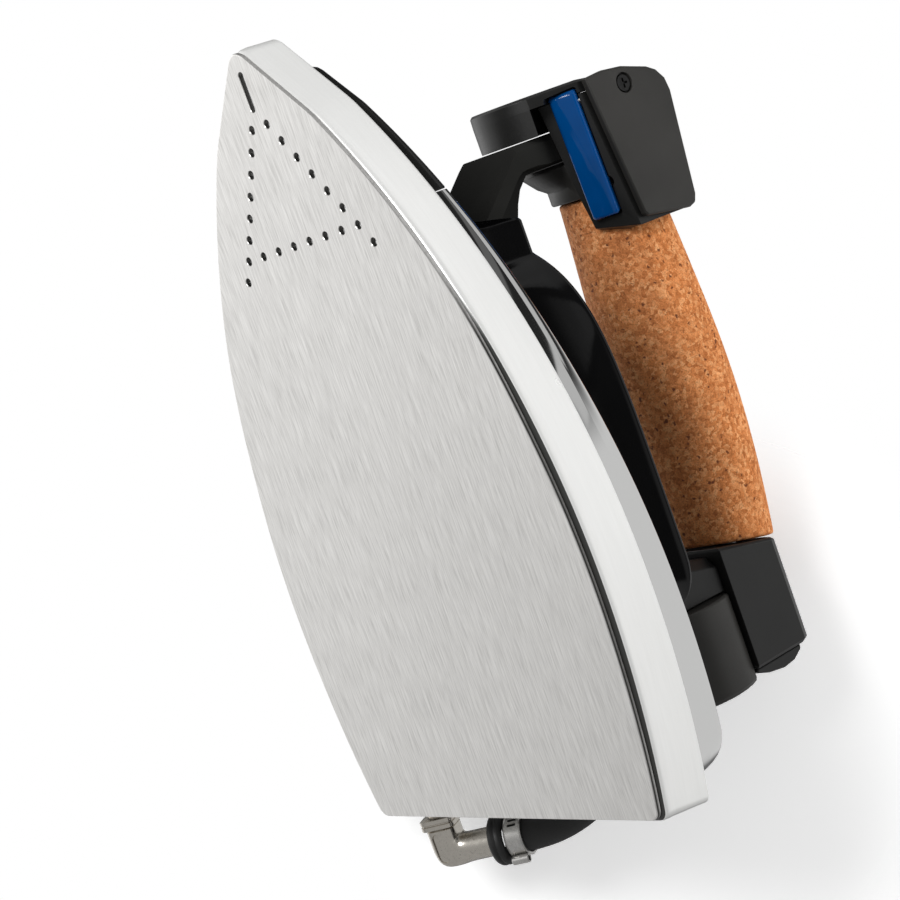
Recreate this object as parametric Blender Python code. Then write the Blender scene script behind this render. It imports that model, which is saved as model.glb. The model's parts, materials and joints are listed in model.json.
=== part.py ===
"""Professional steam iron with a cork handle.

Frame: +X is the iron's left side, +Y runs from the tip to the heel, +Z is up, and the sole face
lies on z = 0. The drawing uses millimetres and the station t, measured rearwards from the tip;
place() turns (x, t, z) into metres about the middle of the iron's length.
"""
import math

import bmesh
import bpy
from mathutils import Matrix, Vector

MM = 0.001

# Sole outline
SOLE_LENGTH = 212.0
SOLE_HALF = 66.5
WIDEST_T = 152.0
FRONT_RADIUS = 215.0
REAR_RADIUS = 250.0
NOSE_HALF = 1.8
NOSE_SLOPE = 0.96
SOLE_CORNER = 2.5
HEEL_FLARE = 1.6
SIDE_STEPS = 17
CORNER_STEPS = 3

# Heights
BAND_FRONT_Z = 13.6
BAND_SLOPE = 0.0165
SHOULDER_Z = 19.4
SHOULDER_SLOPE = 0.05
DECK_RISE = 2.4
SHIELD_RIM_Z = 50.0
SHIELD_NECK = 26.0
GAP = 0.3

# Steam holes: two legs of an A and its crossbar
FACE_THICK = 1.2
FACE_INSET = 2.0
HOLE_R = 1.1
HOLE_FIRST = (3.5, 20.0)
HOLE_STEP = (3.65, 5.2)
HOLE_ROWS = 8
CROSSBAR_ROW = 6
CROSSBAR_HOLES = 6
SLOT_SPAN = (6.5, 15.0)

# Steam chamber and heating element
FLOOR_Z = 6.0
LEDGE_Z = 9.6
ELEMENT_INSET = 7.4
ELEMENT_R = 3.2
ELEMENT_NOSE_T = 22.5
ELEMENT_TAIL_T = 186.0
GROOVE_Z = 6.6

# Handle
HANDLE_Z = 105.0
CORK_FRONT_T = 66.6
CORK_REAR_T = 172.5
CORK_TILT = math.radians(13.0)
ROD_R = 3.0

# Switch housing on the left side of the handle's front
PLATE_FRONT_T = 35.0
PLATE_BACK_T = 38.6
HOUSING_REAR_T = 78.5
HOUSING_SIDE_X = 18.6
LID_X = (18.9, 20.9)
LEG_X = 8.0
LEG_LOW_Z = 83.9
LEG_SLOPE = 0.636
LEG_RISE = 0.14
COLLAR_CHANNEL_R = 16.3
CORK_CHANNEL_R = 15.3
CHANNEL_Z = 104.9

# Trigger, hinged at its front end
TRIGGER_X = 14.4
TRIGGER_HALF = 3.8
TRIGGER_PROUD = 2.6
TRIGGER_SUNK = 1.0
TRIGGER_SPAN = (37.2, 73.0)
PIVOT_T = 41.0
PIVOT_DEPTH = 2.4
PIN_R = 1.0
PIN_PLAY = 0.08
SWITCH_T = 52.0
SPRING_T = 64.0

# Thermostat
THERMOSTAT_T = 140.0
KNOB_R = 15.0

# Rear housing and gland
REAR_FRONT_T = 171.0
REAR_END_T = 205.0
REAR_HALF = 18.0
REAR_TOP_Z = 105.6
REAR_LOW_Z = 84.0
GLAND_Z = 74.0
GLAND_R = 19.0
GLAND_SPAN = (181.6, 208.4)

# Steam inlet at the heel
INLET_X = -44.0
INLET_Z = 8.4
ELBOW_T = 225.0
STUB_DIR = Vector((math.cos(math.radians(30.0)), 0.0, math.sin(math.radians(30.0))))
RING_R = 7.4
HOSE_R = 5.0
HOSE_END_T = 177.0

OVERALL_LENGTH = ELBOW_T + RING_R
MID_T = OVERALL_LENGTH / 2

FINISHES = {
    "brushed_steel": ((0.66, 0.65, 0.63), 1.0, 0.38),
    "polished_aluminium": ((0.82, 0.82, 0.80), 1.0, 0.22),
    "chrome": ((0.80, 0.80, 0.79), 1.0, 0.06),
    "cast_aluminium": ((0.55, 0.55, 0.54), 1.0, 0.5),
    "steel": ((0.45, 0.45, 0.45), 1.0, 0.35),
    "nickel": ((0.62, 0.59, 0.55), 1.0, 0.25),
    "black_plastic": ((0.03, 0.03, 0.028), 0.0, 0.45),
    "gloss_black": ((0.012, 0.012, 0.012), 0.0, 0.12),
    "cork": ((0.55, 0.27, 0.10), 0.0, 0.9),
    "blue_plastic": ((0.0, 0.07, 0.32), 0.0, 0.15),
    "rubber": ((0.02, 0.02, 0.02), 0.0, 0.8),
    "fibre": ((0.75, 0.73, 0.66), 0.0, 0.95),
    "brass": ((0.60, 0.42, 0.14), 1.0, 0.35),
    "braid": ((0.02, 0.02, 0.022), 0.0, 0.9),
}


def place(x, t, z):
    return Vector((x, t - MID_T, z)) * MM


def clear_scene():
    for obj in list(bpy.data.objects):
        bpy.data.objects.remove(obj, do_unlink=True)


def finish(name):
    material = bpy.data.materials.get(name)
    if material:
        return material
    colour, metallic, roughness = FINISHES[name]
    material = bpy.data.materials.new(name)
    material.use_nodes = True
    shader = material.node_tree.nodes["Principled BSDF"]
    shader.inputs["Base Color"].default_value = (*colour, 1.0)
    shader.inputs["Metallic"].default_value = metallic
    shader.inputs["Roughness"].default_value = roughness
    return material


def make_object(name, bm, finish_name):
    bmesh.ops.recalc_face_normals(bm, faces=bm.faces[:])
    mesh = bpy.data.meshes.new(name)
    bm.to_mesh(mesh)
    bm.free()
    mesh.materials.append(finish(finish_name))
    mesh.shade_smooth()
    mesh.set_sharp_from_angle(angle=math.radians(35.0))
    obj = bpy.data.objects.new(name, mesh)
    bpy.context.collection.objects.link(obj)
    return obj


def join_rings(bm, rings, closed):
    """Rows of points with equal counts become a skin, capped at both ends unless closed."""
    rows = [[bm.verts.new(point) for point in ring] for ring in rings]
    count = len(rows[0])
    pairs = list(zip(rows, rows[1:]))
    if closed:
        pairs.append((rows[-1], rows[0]))
    for low, high in pairs:
        for i in range(count):
            j = (i + 1) % count
            bm.faces.new((low[i], low[j], high[j], high[i]))
    if not closed:
        bm.faces.new(rows[0])
        bm.faces.new(rows[-1])


def lofted(name, rings, finish_name, closed=False):
    bm = bmesh.new()
    join_rings(bm, rings, closed)
    return make_object(name, bm, finish_name)


def cutter(name, ring_sets):
    """A helper solid that only cuts others; the finished model leaves it out."""
    bm = bmesh.new()
    for rings in ring_sets:
        join_rings(bm, rings, False)
    obj = make_object(name, bm, "steel")
    obj.hide_render = True
    obj.display_type = "WIRE"
    return obj


def cut(target, tool):
    modifier = target.modifiers.new("cut_" + tool.name, "BOOLEAN")
    modifier.operation = "DIFFERENCE"
    modifier.solver = "EXACT"
    modifier.object = tool


def cut_each(targets, name, ring_sets):
    """Overlapping cuts are made one after another, each with its own helper."""
    for i, rings in enumerate(ring_sets):
        tool = cutter("%s_%d" % (name, i + 1), [rings])
        for target in targets:
            cut(target, tool)


def basis(direction):
    """Two unit vectors square to a direction."""
    direction = direction.normalized()
    helper = Vector((0, 0, 1)) if abs(direction.z) < 0.9 else Vector((1, 0, 0))
    side = helper.cross(direction).normalized()
    return side, direction.cross(side)


def circle(centre, direction, radius, sides, start=0.0):
    """Ring of points in millimetre space about a (x, t, z) centre."""
    side, up = basis(direction)
    points = []
    for i in range(sides):
        angle = start + 2 * math.pi * i / sides
        offset = side * (radius * math.cos(angle)) + up * (radius * math.sin(angle))
        points.append(place(*(Vector(centre) + offset)))
    return points


def turned_rings(base, direction, profile, sides):
    """Rings of a turned shape; profile holds (distance along the axis, radius)."""
    direction = direction.normalized()
    return [circle(Vector(base) + direction * along, direction, radius, sides)
            for along, radius in profile]


def turned(name, base, direction, profile, finish_name, sides=24):
    return lofted(name, turned_rings(base, direction, profile, sides), finish_name)


def turned_ring(name, base, direction, inner_r, outer_r, length, finish_name, sides=24):
    """A washer, bush or collar with a through hole and small chamfers."""
    edge = min(0.3, length / 4)
    profile = [(0, inner_r), (0, outer_r - edge), (edge, outer_r), (length - edge, outer_r),
               (length, outer_r - edge), (length, inner_r)]
    rings = turned_rings(base, direction, profile, sides)
    return lofted(name, rings, finish_name, closed=True)


def block_rings(low, high, edge=0.6):
    """Box between two (x, t, z) corners with chamfered vertical and horizontal edges."""
    (x0, t0, z0), (x1, t1, z1) = low, high

    def ring(z, trim):
        a, b, c, d = x0 + trim, x1 - trim, t0 + trim, t1 - trim
        e = edge
        return [place(x, t, z) for x, t in (
            (a + e, c), (b - e, c), (b, c + e), (b, d - e),
            (b - e, d), (a + e, d), (a, d - e), (a, c + e))]

    return [ring(z0, edge), ring(z0 + edge, 0), ring(z1 - edge, 0), ring(z1, edge)]


def block(name, low, high, finish_name, edge=0.6):
    return lofted(name, block_rings(low, high, edge), finish_name)


# ---- Plan outlines ------------------------------------------------------------------------

def half_width(t, inset=0.0):
    """Half the sole's width at a station, on the outline moved inwards by inset."""
    nose = NOSE_HALF + NOSE_SLOPE * t - inset * math.hypot(1.0, NOSE_SLOPE)
    radius = FRONT_RADIUS if t < WIDEST_T else REAR_RADIUS
    arc = SOLE_HALF - radius + math.sqrt((radius - inset) ** 2 - (t - WIDEST_T) ** 2)
    return min(nose, arc)


def nose_station(inset):
    return inset * math.hypot(1.0, NOSE_SLOPE) / NOSE_SLOPE


def side_points(inset, front, rear, corner):
    """Points of the +X side from the front to the middle of the rear corner."""
    points = []
    straight_end = rear - corner
    for i in range(SIDE_STEPS):
        t = front + (straight_end - front) * (i / SIDE_STEPS) ** 1.25
        points.append((half_width(t, inset), t))
    for i in range(CORNER_STEPS + 1):
        angle = math.pi / 2 * i / CORNER_STEPS
        t = straight_end + corner * math.sin(angle)
        points.append((half_width(t, inset) - corner * (1 - math.cos(angle)), t))
    return points


def outline(inset, height, front=None, rear=None, corner=SOLE_CORNER):
    """Closed ring of the sole's shape; height is a number or a function of the station."""
    front = max(nose_station(inset), front or 0.0)
    rear = SOLE_LENGTH - inset if rear is None else rear
    side = side_points(inset, front, rear, corner)
    level = height if callable(height) else (lambda t: height)
    right = [place(x, t, level(t)) for x, t in side]
    left = [place(-x, t, level(t)) for x, t in reversed(side)]
    return right + left


def band_z(t):
    return BAND_FRONT_Z + BAND_SLOPE * t


def shoulder_z(t):
    return SHOULDER_Z + SHOULDER_SLOPE * t


def deck_z(t):
    return shoulder_z(t) + DECK_RISE


def above(height, rise):
    return lambda t: height(t) + rise


def between(share, rise=0.0):
    """A height that lies a share of the way from the band's top to the shoulder."""
    return lambda t: band_z(t) + share * (shoulder_z(t) - band_z(t)) + rise


# ---- Sole ---------------------------------------------------------------------------------

def hole_places():
    places = []
    for row in range(HOLE_ROWS):
        x = HOLE_FIRST[0] + HOLE_STEP[0] * row
        t = HOLE_FIRST[1] + HOLE_STEP[1] * row
        places += [(x, t), (-x, t)]
    bar_x = HOLE_FIRST[0] + HOLE_STEP[0] * CROSSBAR_ROW
    bar_t = HOLE_FIRST[1] + HOLE_STEP[1] * CROSSBAR_ROW
    pitch = 2 * bar_x / (CROSSBAR_HOLES + 1)
    places += [(-bar_x + pitch * (i + 1), bar_t) for i in range(CROSSBAR_HOLES)]
    return places


def steam_bores(name, top, sides):
    up = Vector((0, 0, 1))
    sets = [turned_rings((x, t, -1.0), up, [(0, HOLE_R), (top + 1.0, HOLE_R)], sides)
            for x, t in hole_places()]
    slot_front, slot_rear = SLOT_SPAN
    slot = []
    for z in (-1.0, min(top, 4.0)):
        ring = []
        for i in range(12):
            angle = math.pi * i / 5 if i < 6 else math.pi * (i - 1) / 5
            end = slot_rear if i < 6 else slot_front
            ring.append(place(math.cos(angle), end + math.sin(angle), z))
        slot.append(ring)
    return cutter(name, sets + [slot])


def feed_channels():
    """Ducts that carry the steam from the chamber to every hole."""
    rows = [(HOLE_FIRST[0] + HOLE_STEP[0] * i, HOLE_FIRST[1] + HOLE_STEP[1] * i) for i in range(HOLE_ROWS)]
    bar_x, bar_t = rows[CROSSBAR_ROW]
    mirrored = [(-x, t) for x, t in rows]
    return [band_rings(rows[::HOLE_ROWS - 1], 1.5, 3.0, 5.6),
            band_rings(mirrored[::HOLE_ROWS - 1], 1.5, 3.0, 5.6),
            band_rings([(-bar_x - 0.4, bar_t), (bar_x + 0.4, bar_t)], 1.4, 2.8, 6.8)]


def element_path():
    """U along the outline, with a rounded nose, from one tail to the other."""
    side = []
    steps = 14
    for i in range(steps + 1):
        t = ELEMENT_NOSE_T + (ELEMENT_TAIL_T - ELEMENT_NOSE_T) * i / steps
        side.append((half_width(t, ELEMENT_INSET), t))
    nose_x = side[0][0]
    nose = [(nose_x * math.cos(math.pi * i / 8), ELEMENT_NOSE_T - 8.0 * math.sin(math.pi * i / 8))
            for i in range(1, 8)]
    left = [(-x, t) for x, t in side]
    return side[::-1] + nose + left


def band_rings(path, half, z0, z1):
    """Prism of a strip that follows a plan path."""
    right, left = [], []
    for i, (x, t) in enumerate(path):
        before = path[max(i - 1, 0)]
        after = path[min(i + 1, len(path) - 1)]
        along = Vector((after[0] - before[0], after[1] - before[1])).normalized()
        right.append((x + along.y * half, t - along.x * half))
        left.append((x - along.y * half, t + along.x * half))
    loop = right + left[::-1]
    return [[place(x, t, z) for x, t in loop] for z in (z0, z1)]


def chamber_screw_places():
    places = []
    for t in (41.0, 103.0):
        x = half_width(t, 15.6)
        places += [(x, t), (-x, t)]
    return places


def heel_ring(flare, height):
    """Outline whose heel overhangs the sole face by flare."""
    return outline(0.0, height, None, SOLE_LENGTH + flare, SOLE_CORNER - 0.6)


def sole_parts():
    face = lofted("sole_face_plate", [
        outline(FACE_INSET + 0.25, 0.0), outline(FACE_INSET, 0.25), outline(FACE_INSET, FACE_THICK)],
        "brushed_steel")
    cut(face, steam_bores("face_bores", FACE_THICK + 1.0, 10))

    base = FACE_THICK + GAP
    casting = lofted("soleplate_casting", [
        outline(2.1, base), outline(0.8, base + 0.6), outline(0.2, base + 1.7),
        outline(0.0, base + 3.2), heel_ring(HEEL_FLARE, above(band_z, -0.8)),
        heel_ring(HEEL_FLARE - 0.6, band_z)], "polished_aluminium")
    cut(casting, steam_bores("casting_bores", FLOOR_Z + 0.6, 8))
    cut_each([casting], "feed_channel", feed_channels())
    cut(casting, cutter("chamber_pocket", [[
        outline(19.0, z, 34.0, 108.0, 4.0) for z in (FLOOR_Z, 40.0)]]))
    cut(casting, cutter("chamber_rebate", [[
        outline(12.0, z, 24.0, 114.0, 4.0) for z in (LEDGE_Z, 40.0)]]))
    groove = [(x, t) for x, t in element_path()]
    tail = ELEMENT_TAIL_T + 14.0
    groove = [(half_width(tail, ELEMENT_INSET), tail)] + groove + [(-half_width(tail, ELEMENT_INSET), tail)]
    cut(casting, cutter("element_groove", [band_rings(groove, ELEMENT_R + 0.45, GROOVE_Z, 40.0)]))
    up = Vector((0, 0, 1))
    screw_bores = cutter("chamber_screw_bores", [
        turned_rings((x, t, 7.4), up, [(0, 1.8), (20, 1.8)], 8) for x, t in chamber_screw_places()])
    cut(casting, screw_bores)
    inlet_bore = cutter("inlet_bore", [turned_rings(
        (INLET_X, SOLE_LENGTH - 12.0, INLET_Z), Vector((0, 1, 0)), [(0, 3.6), (20, 3.6)], 12)])
    cut(casting, inlet_bore)

    gasket = lofted("steam_chamber_gasket", [
        outline(12.4, LEDGE_Z + GAP, 24.6, 113.4, 4.0), outline(12.4, LEDGE_Z + 1.2, 24.6, 113.4, 4.0),
        outline(18.4, LEDGE_Z + 1.2, 33.2, 108.6, 4.0), outline(18.4, LEDGE_Z + GAP, 33.2, 108.6, 4.0)],
        "fibre", closed=True)
    cut(gasket, screw_bores)
    cover_low = LEDGE_Z + 1.5
    cover = lofted("steam_chamber_cover", [
        outline(12.4, cover_low, 24.6, 113.4, 4.0), outline(12.4, cover_low + 1.7, 24.6, 113.4, 4.0),
        outline(13.0, cover_low + 2.2, 25.4, 112.8, 4.0)], "cast_aluminium")
    cut(cover, screw_bores)
    head = cover_low + 2.2 + GAP
    for i, (x, t) in enumerate(chamber_screw_places()):
        turned("chamber_screw_%d" % (i + 1), (x, t, 7.8), up,
               [(0, 1.4), (head - 7.8, 1.4), (head - 7.8, 2.8), (head - 6.4, 2.8), (head - 5.8, 2.1)],
               "steel", 10)
    element_parts()


def element_parts():
    level = GROOVE_Z + GAP + ELEMENT_R
    path = [(x, t, level) for x, t in element_path()]
    rise = []
    for angle in (math.pi / 8, math.pi / 4, 3 * math.pi / 8, math.pi / 2):
        t = ELEMENT_TAIL_T + 6.5 * math.sin(angle)
        rise.append((half_width(t, ELEMENT_INSET), t, level + 6.5 * (1 - math.cos(angle))))
    rise.append((rise[-1][0], rise[-1][1], level + 12.0))
    points = rise[::-1] + path + [(-x, t, z) for x, t, z in rise]
    tube("heating_element", points, ELEMENT_R, "steel", 2)


def tube(name, points, radius, finish_name, resolution):
    """A round rod or hose along a list of (x, t, z) points."""
    curve = bpy.data.curves.new(name, "CURVE")
    curve.dimensions = "3D"
    curve.bevel_depth = radius * MM
    curve.bevel_resolution = resolution
    curve.use_fill_caps = True
    spline = curve.splines.new("POLY")
    spline.points.add(len(points) - 1)
    for item, point in zip(spline.points, points):
        item.co = (*place(*point), 1.0)
    curve.materials.append(finish(finish_name))
    obj = bpy.data.objects.new(name, curve)
    bpy.context.collection.objects.link(obj)
    return obj


# ---- Body ---------------------------------------------------------------------------------

def cover_ring(inset, height, front, corner):
    return outline(inset, height, front + inset - 0.9, None, max(corner - inset, 2.0))


def shell(name, front, rear, corner, finish_name, nose=False):
    """Cup over the sole, open below: its inner skin, its lower edge, then its outer skin."""
    skin = 1.2
    outer = [(0.9, above(band_z, GAP)), (1.6, between(0.5)), (2.9, above(shoulder_z, -1.6)),
             (5.0, shoulder_z), (8.5, above(shoulder_z, 1.7)), (13.0, deck_z)]
    inner = [(2.1, above(band_z, GAP)), (2.9, between(0.5, -0.4)), (4.1, above(shoulder_z, -2.6)),
             (6.2, above(shoulder_z, -1.2)), (9.4, above(shoulder_z, 0.5)),
             (13.6, above(deck_z, -skin))]
    if nose:
        rings = [outline(inset, height, 9.0 + 1.1 * inset, rear - (skin if inner_skin else 0.0), 0.6)
                 for inner_skin, skin_rows in ((True, inner[::-1]), (False, outer))
                 for inset, height in skin_rows]
    else:
        rings = [outline(inset, height, front + (skin if inner_skin else 0.0), None,
                         max(corner - inset, 2.0))
                 for inner_skin, skin_rows in ((True, inner[::-1]), (False, outer))
                 for inset, height in skin_rows]
    return lofted(name, rings, finish_name)


def shield_half(t, inset):
    """Half width of the heat shield: it follows the sole but narrows towards the post."""
    full = half_width(t, inset)
    neck = SHIELD_NECK - (inset - 17.0) * 0.6
    return min(full, neck + 18.0 * (1 - math.exp(-max(t - 73.6, 0.0) / 12.5)))


def shield_ring(inset, height, front, rear, corner):
    side = []
    straight_end = rear - corner
    for i in range(26):
        t = front + (straight_end - front) * (i / 26) ** 1.35
        side.append((shield_half(t, inset), t))
    for i in range(6):
        angle = math.pi / 2 * i / 5
        t = straight_end + corner * math.sin(angle)
        side.append((shield_half(t, inset) - corner * (1 - math.cos(angle)), t))
    right = [place(x, t, height(t)) for x, t in side]
    left = [place(-x, t, height(t)) for x, t in reversed(side)]
    return right + left


def ease(share):
    share = min(max(share, 0.0), 1.0)
    return share * share * (3 - 2 * share)


def rim_z(t):
    """The rim is level behind the post and dips to the deck in front of it."""
    low = deck_z(t) + 5.6
    return low + (SHIELD_RIM_Z - low) * ease((t - 59.0) / 5.5)


def wall_z(share, rise=0.0):
    return lambda t: deck_z(t) + GAP + share * (rim_z(t) - deck_z(t) - GAP) + rise


def body_parts():
    cover = shell("body_cover", 50.2, None, 14.0, "chrome")
    nose = shell("nose_cover", None, 49.9, None, "gloss_black", nose=True)
    floor_top = 2.2
    shield = lofted("heat_shield", [
        shield_ring(25.5, above(deck_z, floor_top), 52.8, 170.2, 10.0),
        shield_ring(24.5, wall_z(0.45), 52.4, 170.6, 11.0),
        shield_ring(20.5, wall_z(0.85), 52.0, 172.4, 13.0),
        shield_ring(18.8, rim_z, 51.8, 173.4, 14.0),
        shield_ring(17.2, rim_z, 50.4, 174.6, 15.0),
        shield_ring(17.0, above(rim_z, -0.8), 50.3, 174.7, 15.0),
        shield_ring(19.0, wall_z(0.82), 50.3, 173.6, 14.0),
        shield_ring(22.8, wall_z(0.42), 50.3, 171.8, 12.0),
        shield_ring(23.8, above(deck_z, GAP), 50.3, 171.2, 11.0)], "gloss_black")
    up = Vector((0, 0, 1))
    shaft_bore = cutter("shaft_bore", [turned_rings((0, THERMOSTAT_T, 20.0), up, [(0, 4.2), (30, 4.2)], 12)])
    cut(cover, shaft_bore)
    cut(shield, shaft_bore)
    bores = [turned_rings((x, t, 16.0), up, [(0, 1.9), (40, 1.9)], 8) for x, t in shield_screw_places()]
    screw_bore = cutter("shield_screw_bores", bores)
    cut(cover, screw_bore)
    cut(shield, screw_bore)
    for i, (x, t) in enumerate(shield_screw_places()):
        seat = deck_z(t) + floor_top + 0.5
        turned("shield_screw_%d" % (i + 1), (x, t, seat - 9.0), up,
               [(0, 1.5), (9.0, 1.5), (9.0, 3.4), (10.2, 3.4), (11.2, 2.4)], "steel", 12)

    cut(shield, cutter("pedestal_notch", [block_rings((-16.6, 164.0, 32.8), (16.6, 190.0, 60.0))]))
    pad = lofted("insulation_pad", [
        outline(13.0, z, 54.0, 180.0, 6.0) for z in (17.0, 20.0)], "fibre")
    cut(pad, cutter("thermostat_window", [block_rings(
        (-15.0, THERMOSTAT_T - 15.0, 15.0), (15.0, THERMOSTAT_T + 15.0, 22.0))]))
    thermostat_parts(up)


def shield_screw_places():
    return [(22.0, 112.0), (-22.0, 112.0), (22.0, 158.0), (-22.0, 158.0)]


def thermostat_parts(up):
    turned("thermostat_body", (0, THERMOSTAT_T, 16.4), up,
           [(0, 12.5), (1.5, 13.2), (2.2, 11.5), (7.5, 11.0), (8.2, 10.0)], "steel", 20)
    turned("thermostat_shaft", (0, THERMOSTAT_T, 25.0), up,
           [(0, 2.6), (0.4, 3.0), (8.8, 3.0), (9.3, 2.5)], "brass", 12)
    knob = turned("thermostat_knob", (0, THERMOSTAT_T, 34.6), up,
                  [(0, KNOB_R), (2.0, KNOB_R), (2.6, 12.6), (11.0, 11.6), (12.4, 10.2)],
                  "black_plastic", 30)
    cut(knob, cutter("pointer_groove", [block_rings(
        (-0.8, THERMOSTAT_T - KNOB_R - 1, 46.2), (0.8, THERMOSTAT_T - 4.0, 48.0), 0.1)]))
    block("thermal_fuse", (27.0, 150.0, 20.4), (32.0, 172.0, 24.4), "fibre", 0.8)
    block("terminal_block", (-38.0, 150.0, 20.4), (-26.0, 176.0, 27.0), "fibre", 0.8)


# ---- Front post, boss and collar ----------------------------------------------------------

def post_ring(z, front, back, half, web, rear):
    """Section of the post: a leg across its whole width, with a narrower web behind it."""
    loop = [(half - 1.6, front), (half, front + 1.6), (half, back), (web, back + 0.4), (web, rear)]
    loop += [(-x, t) for x, t in reversed(loop)]
    return [place(x, t, z) for x, t in loop]


def front_parts():
    post = lofted("front_post", [
        post_ring(28.7, 64.0, 79.0, 14.4, 12.0, 80.6), post_ring(31.4, 64.0, 79.0, 14.4, 12.0, 80.6),
        post_ring(32.2, 70.4, 76.4, 12.5, 6.4, 78.2), post_ring(38.0, 69.2, 74.8, 12.5, 6.2, 76.6),
        post_ring(48.0, 62.0, 68.6, 12.5, 6.0, 72.0), post_ring(56.0, 55.7, 62.4, 12.5, 6.0, 68.6),
        post_ring(62.0, 50.8, 57.4, 12.5, 6.0, 67.2), post_ring(65.4, 48.0, 54.6, 12.4, 5.8, 66.2),
        post_ring(67.6, 46.3, 53.6, 12.2, 5.8, 61.6), post_ring(70.0, 46.3, 53.4, 11.9, 5.8, 58.0),
        post_ring(74.0, 46.3, 53.4, 11.4, 5.6, 54.8), post_ring(80.0, 46.3, 54.0, 9.6, 5.4, 54.8),
        post_ring(84.0, 46.3, 54.0, 7.5, 5.2, 54.8), post_ring(95.6, 46.3, 54.0, 7.5, 5.2, 54.8),
        post_ring(96.4, 48.8, 54.0, 7.5, 5.2, 54.8), post_ring(112.0, 48.8, 54.0, 7.5, 5.2, 54.8),
        post_ring(115.0, 49.8, 53.4, 6.4, 4.6, 54.2)], "black_plastic")
    rearward = Vector((0, 1, 0))
    rod_bore = cutter("rod_bore", [turned_rings(
        (0, 30.0, HANDLE_Z), rearward, [(0, ROD_R + 0.6), (45, ROD_R + 0.6)], 12)])
    cut(post, rod_bore)
    front_plate()

    collar = lofted("front_collar", [
        circle((-4.6, 55.2, 99.3), rearward, 14.0, 32), circle((-4.6, 56.2, 99.3), rearward, 14.6, 32),
        circle((-2.2, 60.4, 102.0), rearward, 14.7, 32), circle((0, 62.2, 104.2), rearward, 15.4, 32),
        circle((0, 65.9, 104.2), rearward, 15.4, 32), circle((0, 66.3, 104.2), rearward, 15.1, 32)],
        "black_plastic")
    cut(collar, cutter("collar_bore", [turned_rings(
        (0, 50.0, HANDLE_Z), rearward, [(0, ROD_R + 0.8), (20, ROD_R + 0.8)], 12)]))


# ---- Handle -------------------------------------------------------------------------------

def cork_centre(t):
    """The grip runs level, then sinks a little towards its rear end."""
    back = max(t - 112.0, 0.0)
    return HANDLE_Z - 0.00075 * back * back


def cork_radius(t):
    share = (t - CORK_FRONT_T) / (CORK_REAR_T - CORK_FRONT_T)
    return 14.2 + 2.9 * math.sin(math.pi * min(share * 0.86, 1.0)) ** 1.3


def cork_ring(t, shrink, lean, sides=28):
    centre = cork_centre(t)
    points = []
    for i in range(sides):
        angle = 2 * math.pi * i / sides
        radius = cork_radius(t) - shrink
        rise = radius * math.sin(angle)
        points.append(place(radius * math.cos(angle), t + rise * math.tan(lean), centre + rise))
    return points


def handle_parts():
    steps = 12
    rings = [cork_ring(CORK_FRONT_T, 0.8, 0.0), cork_ring(CORK_FRONT_T + 0.8, 0.0, 0.0)]
    for i in range(1, steps):
        share = i / steps
        t = CORK_FRONT_T + (CORK_REAR_T - CORK_FRONT_T) * share
        rings.append(cork_ring(t, 0.0, CORK_TILT * share))
    rings.append(cork_ring(CORK_REAR_T, 0.0, CORK_TILT))
    cork = lofted("cork_handle", rings, "cork")
    rearward = Vector((0, 1, 0))
    low_z = cork_centre(CORK_REAR_T)
    slope = (low_z - HANDLE_Z) / (CORK_REAR_T - CORK_FRONT_T)
    rod_line = Vector((0, 1, slope * 0.35)).normalized()
    start = Vector((0, 44.0, HANDLE_Z))
    length = 146.0
    cut(cork, cutter("cork_bore", [turned_rings(start, rod_line, [(10, ROD_R + GAP), (140, ROD_R + GAP)], 12)]))
    turned("handle_rod", start, rod_line,
           [(0, ROD_R - 0.5), (0.5, ROD_R), (length - 0.5, ROD_R), (length, ROD_R - 0.5)], "steel", 12)
    turned_ring("front_washer", (0, 47.2, HANDLE_Z), rearward, ROD_R + 0.3, 7.0, 1.2, "steel", 20)
    turned_ring("front_nut", (0, 44.4, HANDLE_Z), rearward, ROD_R + 0.9, 6.0, 2.5, "steel", 6)


# ---- Rear housing, pedestal and gland -----------------------------------------------------

def rear_ring(t, trim, lean=0.0):
    """Rounded rectangle across the handle's rear housing."""
    half = REAR_HALF - trim
    low = REAR_LOW_Z + GAP + trim * 0.3
    high = REAR_TOP_Z + 1.2 - trim
    mid = (low + high) / 2
    edge = 2.6
    crown = [(half, high - edge), (half - 1.0, high - 0.6), (half - 4.2, high + 2.4), (half - 10.6, high + 5.8)]
    loop = [(half, low)] + crown + [(0.0, high + 7.0)] + [(-x, z) for x, z in crown[::-1]] + [(-half, low)]
    return [place(x, t + (z - mid) * math.tan(lean), z) for x, z in loop]


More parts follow.
